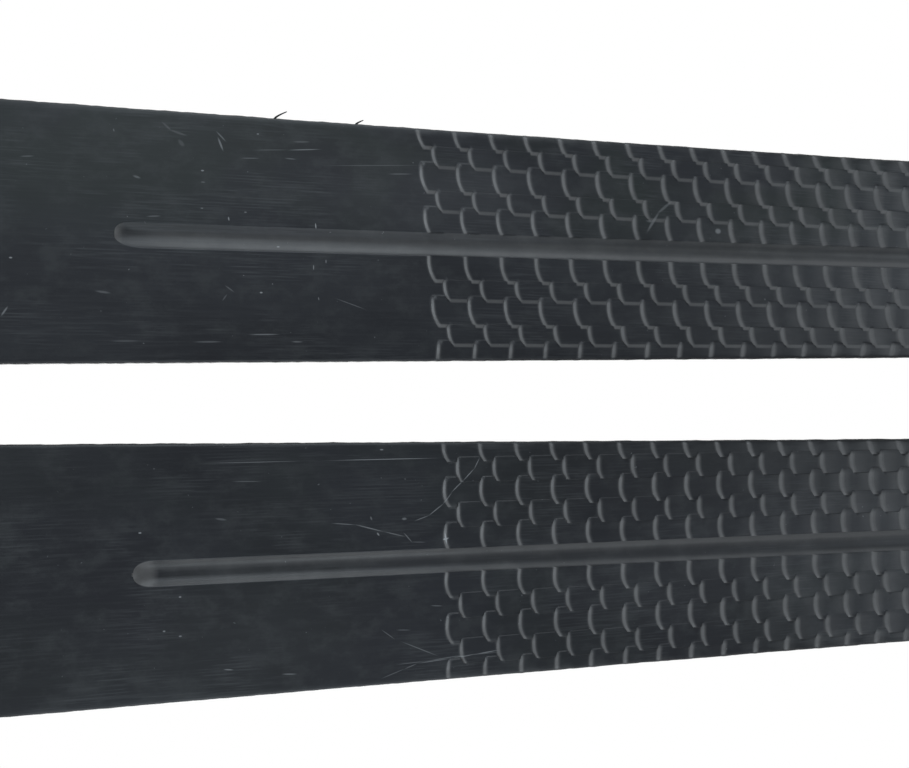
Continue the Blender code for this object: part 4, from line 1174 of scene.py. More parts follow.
    def groove_bands(self, inside: float) -> np.ndarray:
        """Painted light and shade across the groove, at a distance from its end, with a painted
        highlight crescent at the end.
        """
        end_share, later_from, later_over = 0.35, 20, 90
        grown = end_share + (1 - end_share) * np.clip((inside - 2) / 8, 0, 1)
        bands = np.array(self.groove_painted_light) * grown
        bands += np.array(self.groove_later) * np.clip((inside - later_from) / later_over, 0, 1.3)
        # The crescent at the groove's rear end is a painted highlight.
        return np.maximum(bands, np.clip(self.crescent - inside, 0, 1))

    def row(self, row: Row) -> list[np.ndarray]:
        """Place along, place across, height below the base, and painted light and wear, of each
        corner of a row.
        """
        skew_fade, sink_over, drop_gain, dim_wall_shade, edge_painted_shade = 30, 1.3, 1.9, -0.6, -0.35
        grip = self.grip
        even_high = (row.family == "even") == (row.share > 0)
        even_share = 0.5 if row.family == "plain" else float(even_high)
        true_half = float(SHAPE.width(row.at * MM)) / MM / 2
        half = max(true_half, self.lanes_half)
        inside, wide, deep = self.groove_at(row.at)
        y, lane, kind = self.corners(half, wide, even_high, even_share)

        is_odd = int(row.family == "odd")
        from_middle = ((y / grip.lane + (self.groove_lane + 1) - is_odd) % 2 - 1) * grip.lane
        half_scale = (grip.even_reach, grip.odd_reach)[is_odd]
        bowed = self.bow(from_middle, half_scale, self.sags[is_odd])
        if row.family == "even" and self.edge_lean:
            root = self.centre(self.last_lane) - half_scale
            leaning = self.edge_lean * np.clip((half - y) / (half - root), 0, 1)
            bowed = np.where(y > self.centre(self.last_lane - 1), leaning, bowed)
        straight = row.at + bowed * (row.family != "plain")
        away = max(grip.start - row.at, row.at - grip.end, 0)
        along = straight + self.skew * y * max(0, 1 - away / skew_fade)

        below = np.floor(lane)
        low_side = self.lane_height(row, straight, below)
        drop = low_side - self.lane_height(row, straight, np.ceil(lane))
        out = low_side - drop * np.interp(lane - below, (0, 0.3, 0.7), (0, 0.2, 0.8))
        out *= np.clip((half - np.abs(y)) / sink_over, 0.25, 1)
        # Painted highlight, partly wear, on the step's own lanes.
        wear_and_light = self.step_wear_and_highlight(row, lane, from_middle + half_scale)
        # Walls facing the lit way get a painted highlight, the others painted shade.
        seen = np.where(np.sign(drop) == self.lit, self.lit_wall_highlight, dim_wall_shade)
        on_wall = (kind == Kind.WALL) & (lane != below)
        seen = np.where(on_wall, np.clip(np.abs(drop) / grip.height * drop_gain, 0, 1) * seen, 0)
        wear_and_light = np.where(seen < 0, seen, np.maximum(wear_and_light, seen))

        groove = kind == Kind.GROOVE
        depths = np.array(self.groove_depths)
        out[groove] = np.where(depths > 0, -self.groove_depth * deep * depths, out[groove])
        # Painted light and shade across the groove.
        if deep > 0:
            wear_and_light[groove] = np.where(depths > 0, self.groove_bands(inside), wear_and_light[groove])
        lifts = [lift for _, lift in self.edge_steps]
        out[: len(lifts)] -= lifts
        out[-len(lifts) :] -= lifts[::-1]
        # Painted shade along the base's two edges.
        wear_and_light[[0, 1, -2, -1]] = edge_painted_shade
        return [along, y * true_half / half, out, wear_and_light]

    def rows(self) -> list[list[np.ndarray]]:
        """All rows of corners, from the tail to the tip."""
        grip = self.grip
        rows = []
        for at in self.plain_places():
            if not grip.start - 1.1 < at < grip.end + grip.stagger + 2:
                rows.append(Row("plain", 0, at))
        rng = np.random.default_rng(11 if self.side is Side.RIGHT else 12)
        for index in range(grip.rows + 1):
            step = grip.start + index * grip.pitch
            for family, at in (("even", step), ("odd", step + grip.stagger)):
                within = 0 < index < grip.rows
                jitter = np.clip(rng.normal(0, 0.05), -0.08, 0.08) if within else 0
                shares = grip.face_shares if index < grip.rows else (0,)
                face_wear_and_highlight = [np.interp(index, grip.wear_and_highlight_rows, levels) for levels in zip(*grip.face_wear_and_highlight)]
                for place, share, wear_and_highlight in zip(grip.face_places, shares, face_wear_and_highlight):
                    rows.append(Row(family, index, at + place * grip.face + jitter, share, wear_and_highlight))
        return [self.row(row) for row in sorted(rows, key=lambda row: row.at)]

    def edge_waves(self, along: np.ndarray, seed: int) -> np.ndarray:
        """Small unevenness of an edge, in millimetres, at places along it."""
        rng = np.random.default_rng(seed)
        waves = np.zeros_like(along)
        for length in (2.3, 4.1, 7.7, 15.0, 31.0):
            waves += rng.uniform(0.3, 1) * np.sin(2 * np.pi * along / length + rng.uniform(0, 6.3))
        return 0.028 * waves

    def burr(self, x: float, reach: float) -> Piece:
        """A hair of base material on the outer edge, at x in the pair's frame, in millimetres."""
        sign = self.side.sign
        place = SHAPE.place(self.side)
        s = x * MM - place.translation.x + SHAPE.length / 2
        root = place @ Vector((SHAPE.local(s), sign * float(SHAPE.width(s)) / 2, 0))
        share = np.linspace(0, 1, 9)
        line = np.stack([share, sign * 0.60 * share**0.7, -0.15 * share], -1) * reach * MM
        line += (root.x, root.y - sign * 0.1 * MM, float(SHAPE.base(s)) + 0.5 * MM)
        turns = np.arange(6) * np.pi / 3
        round_hair = np.stack([-sign * np.cos(turns), np.cos(turns), np.sin(turns)], -1)
        thick = (0.15 - 0.08 * share) * MM
        rings = line[:, None] + thick[:, None, None] * round_hair
        return Piece.swept("burr", rings, {"wear_and_light": np.full(rings.shape[:2], -1.0)})

    def build(self) -> None:
        """Sweeps the rows into the closed base and dresses it."""
        along, across, out, wear_and_light = (np.array(part) for part in zip(*self.rows()))
        for column, sign, seed in ((0, -1, 5), (-1, 1, 6)):
            across[:, column] += sign * self.edge_waves(along[:, column], seed + self.side.sign)
        s, y = along * MM, across * MM
        rings = [np.stack([SHAPE.local(s), y, SHAPE.base(s) - out * MM], axis=-1)]
        for column, height in ((-1, 1.0), (-1, 2.0), (0, 2.0), (0, 1.0)):
            edge_s = s[:, column]
            z = SHAPE.base(edge_s) + height * MM
            rings.append(np.stack([SHAPE.local(edge_s), y[:, column], z], axis=-1)[:, None, :])
        marks = {"wear_and_light": np.pad(wear_and_light, ((0, 0), (0, 4)))}
        name = self.side.named("base_relief")
        piece = Piece.swept(name, np.concatenate(rings, axis=1), marks)
        piece.moved(SHAPE.place(self.side))
        if self.burrs:
            piece.together(*[self.burr(*burr) for burr in self.burrs])
        paint = FINISHES.running_base(self.side)
        piece.finish(paint, "base", self.side.named("running_base"), 60)


@dataclass
class SkiBody:
    """The layers of a ski above its base, its side walls and its moulded ends.

    Attributes:
        side: The foot that the ski is for.
        laminate: Thickness of the glass-fibre layers.
        lower_fill: How much thicker the lower one is drawn, up to the side walls.
        upper_fill: How much thicker the upper one is drawn, down to the side walls.
        sheet: Thickness of the top sheet.
        wall: Thickness of the side walls.
        recess: How far the glass-fibre layers' edges lie behind the ski's side.
    """

    side: Side
    laminate: float = 0.0007
    lower_fill: float = 0.0004
    upper_fill: float = 0.0002
    sheet: float = 0.0009
    wall: float = 0.0025
    recess: float = 0.00006

    def stations(self) -> np.ndarray:
        """Places along the ski where the layers have a ring of corners."""
        low, high = SHAPE.layers_from, SHAPE.layers_to
        fine_from, fine_to = 0.125, 1.655
        tail = np.arange(low, fine_from, 0.005)
        middle = np.arange(fine_from, fine_to, 0.010)
        tip = np.arange(fine_to, high, 0.004)
        seat = np.array([SHAPE.seat_from, SHAPE.seat_to])
        middle = middle[np.all(np.abs(middle[:, None] - seat) > 0.003, axis=1)]
        return np.sort(np.concatenate([tail, middle, tip, seat, [high]]))

    def layer(self, name: str, section: Section) -> Piece:
        """A piece through the same (y, z) corners at every station, in the pair's frame."""
        s = self.stations()
        rings = [np.stack(np.broadcast_arrays(SHAPE.local(s), y, z), -1) for y, z in section(s)]
        piece = Piece.swept(self.side.named(name), np.stack(rings, axis=1))
        return piece.moved(SHAPE.place(self.side))

    def base_top(self, s: np.ndarray) -> np.ndarray:
        """Height of the running base's upper face."""
        return SHAPE.base(s) + SHAPE.base_thickness

    def walls_from(self, s: np.ndarray) -> np.ndarray:
        """Height of the side walls' lower edges."""
        return self.base_top(s) + self.laminate + self.lower_fill

    def walls_to(self, s: np.ndarray) -> np.ndarray:
        """Height of the side walls' upper edges."""
        return self.sheet_from(s) - self.laminate - self.upper_fill

    def sheet_from(self, s: np.ndarray) -> np.ndarray:
        """Height of the top sheet's lower face."""
        return SHAPE.top(s) - self.sheet

    def slab(self, low: Callable, high: Callable) -> Section:
        """Corners of a flat layer between two heights."""

        def section(s: np.ndarray) -> list[tuple[Any, Any]]:
            """Its four corners at each place."""
            z0, z1 = low(s), high(s)
            y0, y1 = SHAPE.edge(s, z0) - self.recess, SHAPE.edge(s, z1) - self.recess
            return [(-y0, z0), (y0, z0), (y1, z1), (-y1, z1)]

        return section

    def walls(self, sign: int) -> Section:
        """Corners of a side wall, whose outer face is a little hollow from planing."""
        hollow, arris = 0.00012, 0.00008

        def section(s: np.ndarray) -> list[tuple[Any, Any]]:
            """Its outer corners from below, then its inner ones from above."""
            low, high = self.walls_from(s), self.walls_to(s)
            inside = [(SHAPE.edge(s, z) - self.wall, z) for z in (high, low)]
            outer = []
            for share in (0, 0.04, 0.35, 0.65, 0.96, 1):
                z = low + (high - low) * share
                inset = hollow * math.sin(math.pi * share) + (arris if share in (0, 1) else 0)
                outer.append((SHAPE.edge(s, z) - inset, z))
            return [(sign * y, z) for y, z in outer + inside]

        return section

    def sheet_section(self, s: np.ndarray) -> list[tuple[Any, Any]]:
        """Corners of the top sheet, rolled over at its edges."""
        top = SHAPE.top(s)
        half = SHAPE.edge(s, top)
        low = top - self.sheet
        roll = ((0, 0.95), (0.05, 0.62), (0.25, 0.34), (0.7, 0.12), (1.5, 0.02), (2.6, 0))
        left = [(half - inset * MM, top - drop * self.sheet) for inset, drop in roll]
        corners = [(-half, low), (half, low)] + left + [(half * 0, top)]
        return corners + [(-y, z) for y, z in reversed(left)]

    def end_piece(self, name: str, at_tip: bool) -> Piece:
        """A moulded end with a rounded section that carries on the ski's layers."""
        start = SHAPE.layers_to if at_tip else SHAPE.layers_from
        length = SHAPE.length - start if at_tip else -start
        least_half, corner, sides = 0.0025, 0.009, 28
        rings = []
        for share in 1 - np.linspace(1, 0, 26 if at_tip else 22) ** 1.8:
            s = start + length * share
            half = float(SHAPE.width(s)) / 2
            low, high = float(SHAPE.base(s)), float(SHAPE.top(s))
            blunt = math.sqrt(max(1 - share**24, 0.05))
            if at_tip:
                half = max(half, least_half * math.sqrt(max(1 - share**12, 0.02)))
                thick = math.sqrt(1 - 0.7 * share**3) * blunt
            else:
                from_corner = 1 - min(s / corner, 1)
                half -= corner * (1 - math.sqrt(max(1 - from_corner**2, 0)))
                thick = (1 - 0.35 * from_corner**2) * blunt
            middle, rise = (low + high) / 2, (high - low) / 2 * thick
            lean = 2 * rise * math.tan(SHAPE.side_lean)
            ring = []
            for i in range(sides):
                angle = 2 * math.pi * (i + 0.5) / sides
                c, d = math.cos(angle), math.sin(angle)
                y = half * math.copysign(abs(c) ** 0.22, c)
                z = rise * math.copysign(abs(d) ** 0.45, d)
                y -= math.copysign(lean * (z / rise + 1) / 2, y)
                ring.append((SHAPE.local(s), y, middle + z))
            rings.append(ring)
        piece = Piece.swept(self.side.named(name), np.array(rings))
        return piece.moved(SHAPE.place(self.side))

    def build(self) -> None:
        """Makes and dresses all layers and ends."""
        named, sign = self.side.named, self.side.sign
        lower = self.slab(self.base_top, self.walls_from)
        upper = self.slab(self.walls_to, self.sheet_from)
        for name, section, slot, node, angle in (
            ("lower_glass", lower, "laminate", "lower_laminate", 35),
            ("upper_glass", upper, "laminate", "upper_laminate", 35),
            ("wall_outer", self.walls(sign), "sidewall", "sidewall_outer", 35),
            ("wall_inner", self.walls(-sign), "sidewall", "sidewall_inner", 35),
            ("sheet", self.sheet_section, "top_sheet", "top_sheet", 50),
        ):
            layer = self.layer(name, section)
            layer.finish(FINISHES.get(slot), slot, named(node), angle, weighted=False)
        plastic = FINISHES.get("end_plastic")
        for end in ("tip", "tail"):
            piece = self.end_piece(f"{end}_end", end == "tip")
            piece.finish(plastic, "end_plastic", named(f"{end}_protector"), 50, weighted=False)
        core = frame["nodes"][named("core")]
        core.material_slots[0].material = FINISHES.get("core_wood")


@dataclass
class Binding:
    """A ski's touring binding. Places are in metres, seen from the middle of the toe bar's seat.

    The rails and the heel plate are the exception: their ends are given as s, as on the ski.
    """

    side: Side
    bar_at: float = 0.905
    clearance: float = 0.0003
    half: float = 0.0225
    floor: float = 0.0030
    front: float = 0.0880
    nose_rear: float = 0.0810
    nose_height: float = 0.0065
    cheek_rear: float = 0.0115
    cheek_front: float = 0.0560
    cheek_height: float = 0.0165
    cheek_thickness: float = 0.0045
    sunk: float = 0.0008
    stop_rear: float = 0.0720
    stop_front: float = 0.0750
    pin_at: float = 0.0340
    pin_height: float = 0.0120
    pin_radius: float = 0.0015
    lever_width: float = 0.0340
    lever_front_width: float = 0.0270
    lever_length: float = 0.0520
    barrel: float = 0.0036
    swing: float = math.radians(70)
    claw_travel: float = 0.0075
    claw_low: float = 0.0033
    claw_top: float = 0.0075
    claw_front: float = 0.0500
    plate_thickness: float = 0.0025
    plate_half: float = 0.0210
    ridge_offset: float = 0.0120
    ridge_height: float = 0.0085
    rail_front: float = 0.8885
    rail_rear: float = 0.6785
    heel_front: float = 0.6705
    heel_rear: float = 0.6145
    screw_head: float = 0.0036
    screw_shank: float = 0.0018
    screw_length: float = 0.0140
    head_depth: float = 0.0020

    @property
    def at_bar(self) -> Matrix:
        """Matrix from the binding's own places to the pair's frame."""
        seat = float(SHAPE.top(self.bar_at)) + self.clearance
        spot = Vector((SHAPE.local(self.bar_at), 0, seat))
        return SHAPE.place(self.side) @ Matrix.Translation(spot)

    @property
    def finger_reach(self) -> float:
        """Distance of the finger's tip from the pin; its swing moves the claw by its travel."""
        return self.claw_travel / (2 * math.sin(self.swing / 2))

    def on_sheet(self, s: float, y: float, lift: float) -> Matrix:
        """Matrix of a place over the top sheet at s, its Z square to the sheet."""
        spot = Matrix.Translation((SHAPE.local(s), y, float(SHAPE.top(s))))
        tilt = Matrix.Rotation(-math.atan(SHAPE.slope(s)), 4, "Y")
        return SHAPE.place(self.side) @ spot @ tilt @ Matrix.Translation((0, 0, lift))

    def screw_places(self) -> dict[str, Matrix]:
        """Where the middle of each screw's head lies."""
        toe = self.clearance + self.floor
        plate = self.clearance + self.plate_thickness
        rail = (self.rail_front + self.rail_rear) / 2
        heel = (self.heel_front + self.heel_rear) / 2
        return {
            "toe_screw_front": self.on_sheet(self.bar_at + 0.0790, 0, toe),
            "toe_screw_left": self.on_sheet(self.bar_at + 0.0180, 0.0125, toe),
            "toe_screw_right": self.on_sheet(self.bar_at + 0.0180, -0.0125, toe),
            "rail_screw": self.on_sheet(rail, 0, plate),
            "heel_screw": self.on_sheet(heel, 0, plate),
        }

    def dress(self, piece: Piece, slot: str, node: str, angle: float = 30) -> None:
        """Finishes a piece, whose slot has the name of its finish, as one of this side's nodes."""
        piece.finish(FINISHES.get(slot), slot, self.side.named(node), angle)

    def across(self, name: str, at: Point, half: float, radius: float, sides: int = 32) -> Piece:
        """A rod across the binding, through an (x, z) place."""
        return Piece.rod(name, (at[0], -half, at[1]), (at[0], half, at[1]), radius, sides)

    def bore(self, at: Point) -> Piece:
        """A cutter for the lever pin's hole, through an (x, z) place."""
        return self.across("bore", at, 0.03, self.pin_radius + self.clearance)

    def cheek(self, sign: int) -> Piece:
        """A side cheek with a sloped front, a sunk panel and a boss round the pin."""
        inner, outer = self.half - self.cheek_thickness, self.half - 0.0002
        rear, front, top = self.cheek_rear, self.cheek_front, self.cheek_height
        corners = [
            (rear, self.sunk), (rear, top - 0.0045), (rear + 0.0018, top - 0.0012),
            (rear + 0.0052, top), (front - 0.0150, top), (front - 0.0085, top - 0.0014),
            (front - 0.0020, top - 0.0060), (front, top - 0.0095), (front, self.sunk),
        ]
        cheek = Piece.profile("cheek", corners, *sorted((sign * inner, sign * outer)))
        cheek.soften(0.0007, 3)

        def outside(_: Vector, normal: Vector) -> bool:
            """Whether a face is the cheek's outer one."""
            return normal.y * sign > 0.99

        def panel(at: Vector, normal: Vector) -> bool:
            """Whether a face lies in the middle of the outer one."""
            return outside(at, normal) and abs(at.x - self.pin_at) < 0.012

        cheek.set_in(outside, 0.0016, 0).set_in(panel, 0.0004, 0.0007)
        spot = (self.pin_at, sign * (outer - 0.0020), self.pin_height)
        end = (self.pin_at, sign * (outer - 0.0001), self.pin_height)
        boss = Piece.rod("boss", spot, end, 0.0033, 40).soften(0.0003)
        return cheek.combine("UNION", boss)

    def housing(self) -> None:
        """The moulded toe housing: floor, nose, cheeks, claw guides, spring stop and jaw."""
        half, tongue, low = self.half, 0.0130, self.sunk
        edge = [
            (-0.0110, tongue - 0.0030), (-0.0100, tongue - 0.0009), (-0.0080, tongue),
            (0.0030, tongue), (0.0050, tongue + 0.0012), (0.0075, half - 0.0040),
            (0.0092, half - 0.0014), (self.cheek_rear, half), (self.front - 0.0050, half),
            (self.front - 0.0016, half - 0.0014), (self.front, half - 0.0050),
        ]
        outline = edge + [(x, -y) for x, y in reversed(edge)]
        plate = Piece.outline("housing", [(x, y, 0) for x, y in outline], (0, 0, self.floor))
        plate.soften(0.0005, 2, 50)
        nose = [
            (self.nose_rear, low), (self.front - low, low), (self.front - low, 0.0036),
            (self.front - 0.0014, 0.0050), (self.front - 0.0030, self.nose_height),
            (self.nose_rear + 0.0004, self.nose_height),
            (self.nose_rear, self.nose_height - 0.0004),
        ]
        jaw = [
            (-0.0100, low), (-0.0100, 0.0042), (-0.0094, 0.0060), (-0.0078, 0.0073),
            (-0.0062, 0.0075), (-0.0038, 0.0075), (-0.0031, 0.0071), (-0.0029, 0.0062),
            (-0.0029, low),
        ]
        parts = [
            Piece.profile("nose", nose, 0.0040 - half, half - 0.0040).soften(0.0004),
            Piece.profile("jaw", jaw, -0.0100, 0.0100).soften(0.0004),
        ]

        def bar(name: str, rear: float, front: float, sides: Point, height: float) -> None:
            """Adds a softened bar on the floor, from one place across the ski to another."""
            top = self.floor + height
            block = Piece.block(name, (rear, sides[0], low), (front, sides[1], top))
            parts.append(block.soften(0.0003))

        for sign in (-1, 1):
            parts.append(self.cheek(sign))
            bar("guide", 0.0032, self.stop_front, (sign * 0.0053, sign * 0.0078), 0.0046)
            for y in (0.0105, 0.0140):
                bar("rib", 0.0575, 0.0735, (sign * y, sign * (y + 0.0010)), 0.0011)
        bar("stop", self.stop_rear, self.stop_front, (-0.0063, 0.0063), 0.0044)
        plate.combine("UNION", *parts)
        plate.combine("DIFFERENCE", self.bore((self.pin_at, self.pin_height)))
        plate.moved(self.at_bar)
        screws = ("toe_screw_front", "toe_screw_left", "toe_screw_right")
        plate.combine("DIFFERENCE", *self.sinks(screws))
        self.dress(plate, "binding_plastic", "toe_housing")

    def sinks(self, names: Sequence[str]) -> list[Piece]:
        """Cutters for the countersunk holes of some screws."""
        gap = self.clearance
        head, shank = self.screw_head + gap, self.screw_shank + gap
        profile = [(head, 0.006), (head, -gap), (shank, -self.head_depth - gap), (shank, -0.012)]
        places = self.screw_places()
        return [Piece.turned("sink", profile).moved(places[name]) for name in names]

    def screws(self) -> None:
        """Countersunk screws with cross recesses and threads."""
        head, shank, end = self.screw_head, self.screw_shank, -self.screw_length
        profile = [(0.0012, -0.00002), (head - 0.0003, -0.00005), (head, -0.0003)]
        profile += [(shank, -self.head_depth)]
        z = -0.0030
        while z > end + 0.0024:
            profile += [(shank * 0.76, z), (shank, z - 0.0004)]
            z -= 0.0009
        profile += [(0.0010, end + 0.0010), (0.0003, end + 0.0001)]
        first = Piece.turned("screw", profile)
        for turn in (0, math.pi / 2):
            slot = Piece.block("recess", (-0.0021, -0.00048, -0.0017), (0.0021, 0.00048, 0.001))
            slot.bend(lambda at: at * np.where(at[:, 2:] < 0, [[0.55, 0.8, 1]], [[1, 1, 1]]))
            first.combine("DIFFERENCE", slot.moved(Matrix.Rotation(turn, 4, "Z")))
        turns = {"toe_screw_front": 20, "toe_screw_left": 65, "toe_screw_right": 10}
        turns |= {"rail_screw": 40, "heel_screw": 75}
        for node, place in self.screw_places().items():
            turn = Matrix.Rotation(math.radians(turns[node] + 7 * self.side.sign), 4, "Z")
            screw = first.copied(self.side.named(f"{node}_steel"), place @ turn)
            self.dress(screw, "steel", node, 35)
        bpy.data.objects.remove(first.obj, do_unlink=True)

    def lever(self) -> None:
        """The hand lever with its press dimple, grip grooves, barrel and finger."""
        length, end = self.lever_length, -(self.pin_height - self.nose_height - 0.0008)
        turns = np.radians(np.linspace(80, 280, 21))
        corners = [(self.barrel * math.cos(turn), self.barrel * math.sin(turn)) for turn in turns]
        corners += [(0.0056, -0.0024), (0.0115, -0.0003), (0.0182, 0.0022), (0.0290, 0.0014)]
        corners += [(0.0390, 0.0000), (0.0460, -0.0022), (length, end)]
        corners += [(length + 0.0012, end + 0.0010), (length + 0.0011, end + 0.0022)]
        corners += [(0.0470, 0.0008), (0.0390, 0.0028), (0.0290, 0.0043), (0.0182, 0.0050)]
        corners += [(0.0110, 0.0047), (0.0050, 0.0041)]
        half = self.lever_width / 2
        lever = Piece.profile(self.side.named("lever_red"), corners, -half, half)

        def narrowed(at: np.ndarray) -> np.ndarray:
            """Narrows the lever towards its front end."""
            share = np.clip(at[:, 0] / length, 0, 1) ** 2
            width = 1 + (self.lever_front_width / self.lever_width - 1) * share
            return at * np.stack([np.ones_like(width), width, np.ones_like(width)], axis=1)

        lever.bend(narrowed).soften(0.0009, 3, 40)
        Piece.clear()
        bpy.ops.mesh.primitive_uv_sphere_add(segments=48, ring_count=24, radius=0.0105)
        ball = Piece.added("dimple").moved(Matrix.Translation((0.0270, 0, 0.0137)))
        grooves = [
            self.across("groove", at, 0.0105, 0.00065, 20)
            for at in ((0.0395, 0.0032), (0.0422, 0.0026), (0.0449, 0.0018), (0.0474, 0.0010))
        ]
        lever.combine("DIFFERENCE", ball, *grooves)
        reach, thick = self.finger_reach, 0.0012
        tip = [(-thick, -0.0010), (-thick, -reach)]
        for turn in np.linspace(math.pi, 2 * math.pi, 9)[1:-1]:
            tip.append((thick * math.cos(turn), -reach + thick * math.sin(turn)))
        tip += [(thick, -reach), (thick, -0.0010)]
        finger = Piece.profile("finger", tip, -0.0026, 0.0026)
        finger.moved(Matrix.Rotation(self.swing / 2, 4, "Y"))
        lever.combine("UNION", finger)
        lever.combine("DIFFERENCE", self.bore((0, 0)))
        lever.moved(self.at_bar @ Matrix.Translation((self.pin_at, 0, self.pin_height)))
        self.dress(lever, "lever", "lever")

    def pin(self) -> None:
        """The pin that the lever turns on, with sunk ends."""
        axis = (self.pin_at, self.pin_height)
        name = self.side.named("pin_steel")
        pin = self.across(name, axis, self.half - 0.0005, self.pin_radius, 40).soften(0.0003)
        pin.set_in(lambda at, normal: abs(normal.y) > 0.99, 0.0005, 0.0002)
        self.dress(pin.moved(self.at_bar), "steel", "lever_pin", 35)

    def claw(self) -> None:
        """The sliding claw with its hook, the slot for the lever's finger and three dents."""
        hook_low, hook_top = 0.0086, 0.0112
        corners = [
            (0.0029, self.claw_low), (self.claw_front, self.claw_low),
            (self.claw_front, self.claw_top), (0.0068, self.claw_top),
            (0.0062, self.claw_top + 0.0006), (0.0062, hook_top - 0.0012),
            (0.0058, hook_top - 0.0004), (0.0050, hook_top), (-0.0012, hook_top),
            (-0.0019, hook_top - 0.0005), (-0.0022, hook_low + 0.0012), (-0.0022, hook_low),
            (0.0023, hook_low), (0.0029, hook_low - 0.0006),
        ]
        claw = Piece.profile(self.side.named("claw_steel"), corners, -0.0050, 0.0050)
        claw.soften(0.0003)
        middle = self.pin_at - self.finger_reach * math.sin(self.swing / 2)
        slot = Piece.block("slot", (middle - 0.0026, -0.0029, 0), (middle + 0.0026, 0.0029, 0.01))
        slot.round_edges(0.0008, lambda a, b: abs(a.z - b.z) > 0.005)
        places = (0.0110, 0.0135, 0.0160)
        dents = [self.across("dent", (x, 0.0078), 0.0034, 0.0006, 16) for x in places]
        claw.combine("DIFFERENCE", slot, *dents)
        self.dress(claw.moved(self.at_bar), "steel", "claw")

    def spring(self) -> None:
        """The claw's coil spring, a wire swept along a helix whose end coils lie closer."""
        wire, coil, curls = 0.0005, 0.0014, 7
        loose, seat = self.claw_front + self.clearance, self.stop_rear - self.clearance
        rear, front = loose + wire, seat - wire
        height = self.floor + self.clearance + coil + wire
        share = np.linspace(0, 1, curls * 20 + 1)
        turn = 2 * np.pi * curls * share
        bunched = share - 0.035 * np.sin(2 * np.pi * share)
        x = rear + (front - rear) * bunched
        line = np.stack([x, coil * np.cos(turn), height + coil * np.sin(turn)], axis=-1)
        way = np.gradient(line, axis=0)
        way /= np.linalg.norm(way, axis=1, keepdims=True)
        out = np.stack([np.zeros_like(turn), np.cos(turn), np.sin(turn)], axis=-1)
        side = np.cross(way, out)
        angles = (np.arange(10) * 2 * np.pi / 10)[None, :, None]
        round_wire = np.cos(angles) * out[:, None] + np.sin(angles) * side[:, None]
        rings = line[:, None] + wire * round_wire
        spring = Piece.swept(self.side.named("spring_steel"), rings).moved(self.at_bar)
        self.dress(spring, "steel", "claw_spring", 60)
        way = self.at_bar.to_3x3() @ Vector((1, 0, 0))
        anchor = self.at_bar @ Vector((seat, 0, height))
        keep = 1 - self.claw_travel / (seat - loose)
        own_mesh(spring.obj, self.side.named("claw_slide"), tuple(way), tuple(anchor), keep=keep)

    def flexor(self) -> None:
        """The rubber block, ribbed where the boot presses on it."""
        bottom = self.floor + 0.0046 + self.clearance
        rear, front, top = 0.0145, 0.0270, bottom + 0.0120
        corners = [
            (rear, bottom), (front, bottom), (front, top - 0.0028),
            (front - 0.0008, top - 0.0010), (front - 0.0026, top), (rear + 0.0058, top),
            (rear + 0.0040, top - 0.0008), (rear + 0.0030, top - 0.0022),
            (rear + 0.0012, bottom + 0.0045),
        ]
        half = self.half - self.cheek_thickness - self.clearance
        block = Piece.profile(self.side.named("flexor_rubber"), corners, -half, half)
        block.soften(0.0006, 3, 25)
        grooves = []
        for share in (0.16, 0.36, 0.56, 0.76):
            at = (rear + 0.0028 * share + 0.0002, bottom + 0.0098 * share)
            grooves.append(self.across("groove", at, half - 0.003, 0.0007, 16))
        z = top + 0.0002
        for y in (-0.009, 0, 0.009):
            grooves.append(Piece.rod("groove", (rear, y, z), (front + 0.002, y, z), 0.0008, 16))
        block.combine("DIFFERENCE", *grooves)
        self.dress(block.moved(self.at_bar), "flexor", "flexor")

    def plate(self, name: str, rear: float, front: float) -> None:
        """A plate with two guide ridges that follows the top sheet, with cross ribs between.

        Args:
            name: "rail" or "heel", the first word of the plate's node and of its screw's.
            rear: Its rear end as s.
            front: Its front end as s.
        """
        pitch, rib_height, lip, drop = 0.0050, 0.00035, 0.0012, 0.0006
        count = int((front - rear - 0.004) / pitch)
        first = (rear + front - count * pitch) / 2
        ribs = [first + pitch * (i + share) for i in range(count) for share in (0, 0.36, 0.5, 0.86)]
        ends = [rear, rear + 0.0004, rear + lip, front - lip, front - 0.0004, front]
        s = np.array(ends[:3] + ribs + ends[3:])
        near_end = np.minimum(s - rear, front - s)
        in_rib = ((s - first) / pitch % 1 > 0.33) & ((s - first) / pitch % 1 < 0.8)
        clear = (near_end > 0.003) & (np.abs(s - (rear + front) / 2) > 0.0075)
        rib = np.where(in_rib & clear, rib_height, 0.0)
        rounding = np.clip(1 - near_end / lip, 0, 1)
        ramp = 0.55 + 0.45 * ease(near_end / 0.012)
        tall = np.maximum(self.ridge_height * ramp - drop * rounding, self.plate_thickness)
        thick = self.plate_thickness - 0.0005 * rounding
        half = self.plate_half - drop * rounding
        zero = np.zeros_like(s)
        edge = [(half, thick - drop), (half - 0.0002, thick - 0.0002), (half - 0.0006, thick)]

        def one_ridge(sign: int) -> list[tuple[Any, Any]]:
            """Corners over one ridge, from its +Y foot to its other foot."""
            shape = ((4.6, 0), (4.15, 0.06), (3.55, 0.55), (3.15, 0.9), (2.6, 1.0), (0, 1.02))
            found = []
            for offset, share in shape + tuple((-a, b) for a, b in reversed(shape[:-1])):
                y = sign * self.ridge_offset + offset * MM
                found.append((zero + y, thick + (tall - thick) * share))
            return found

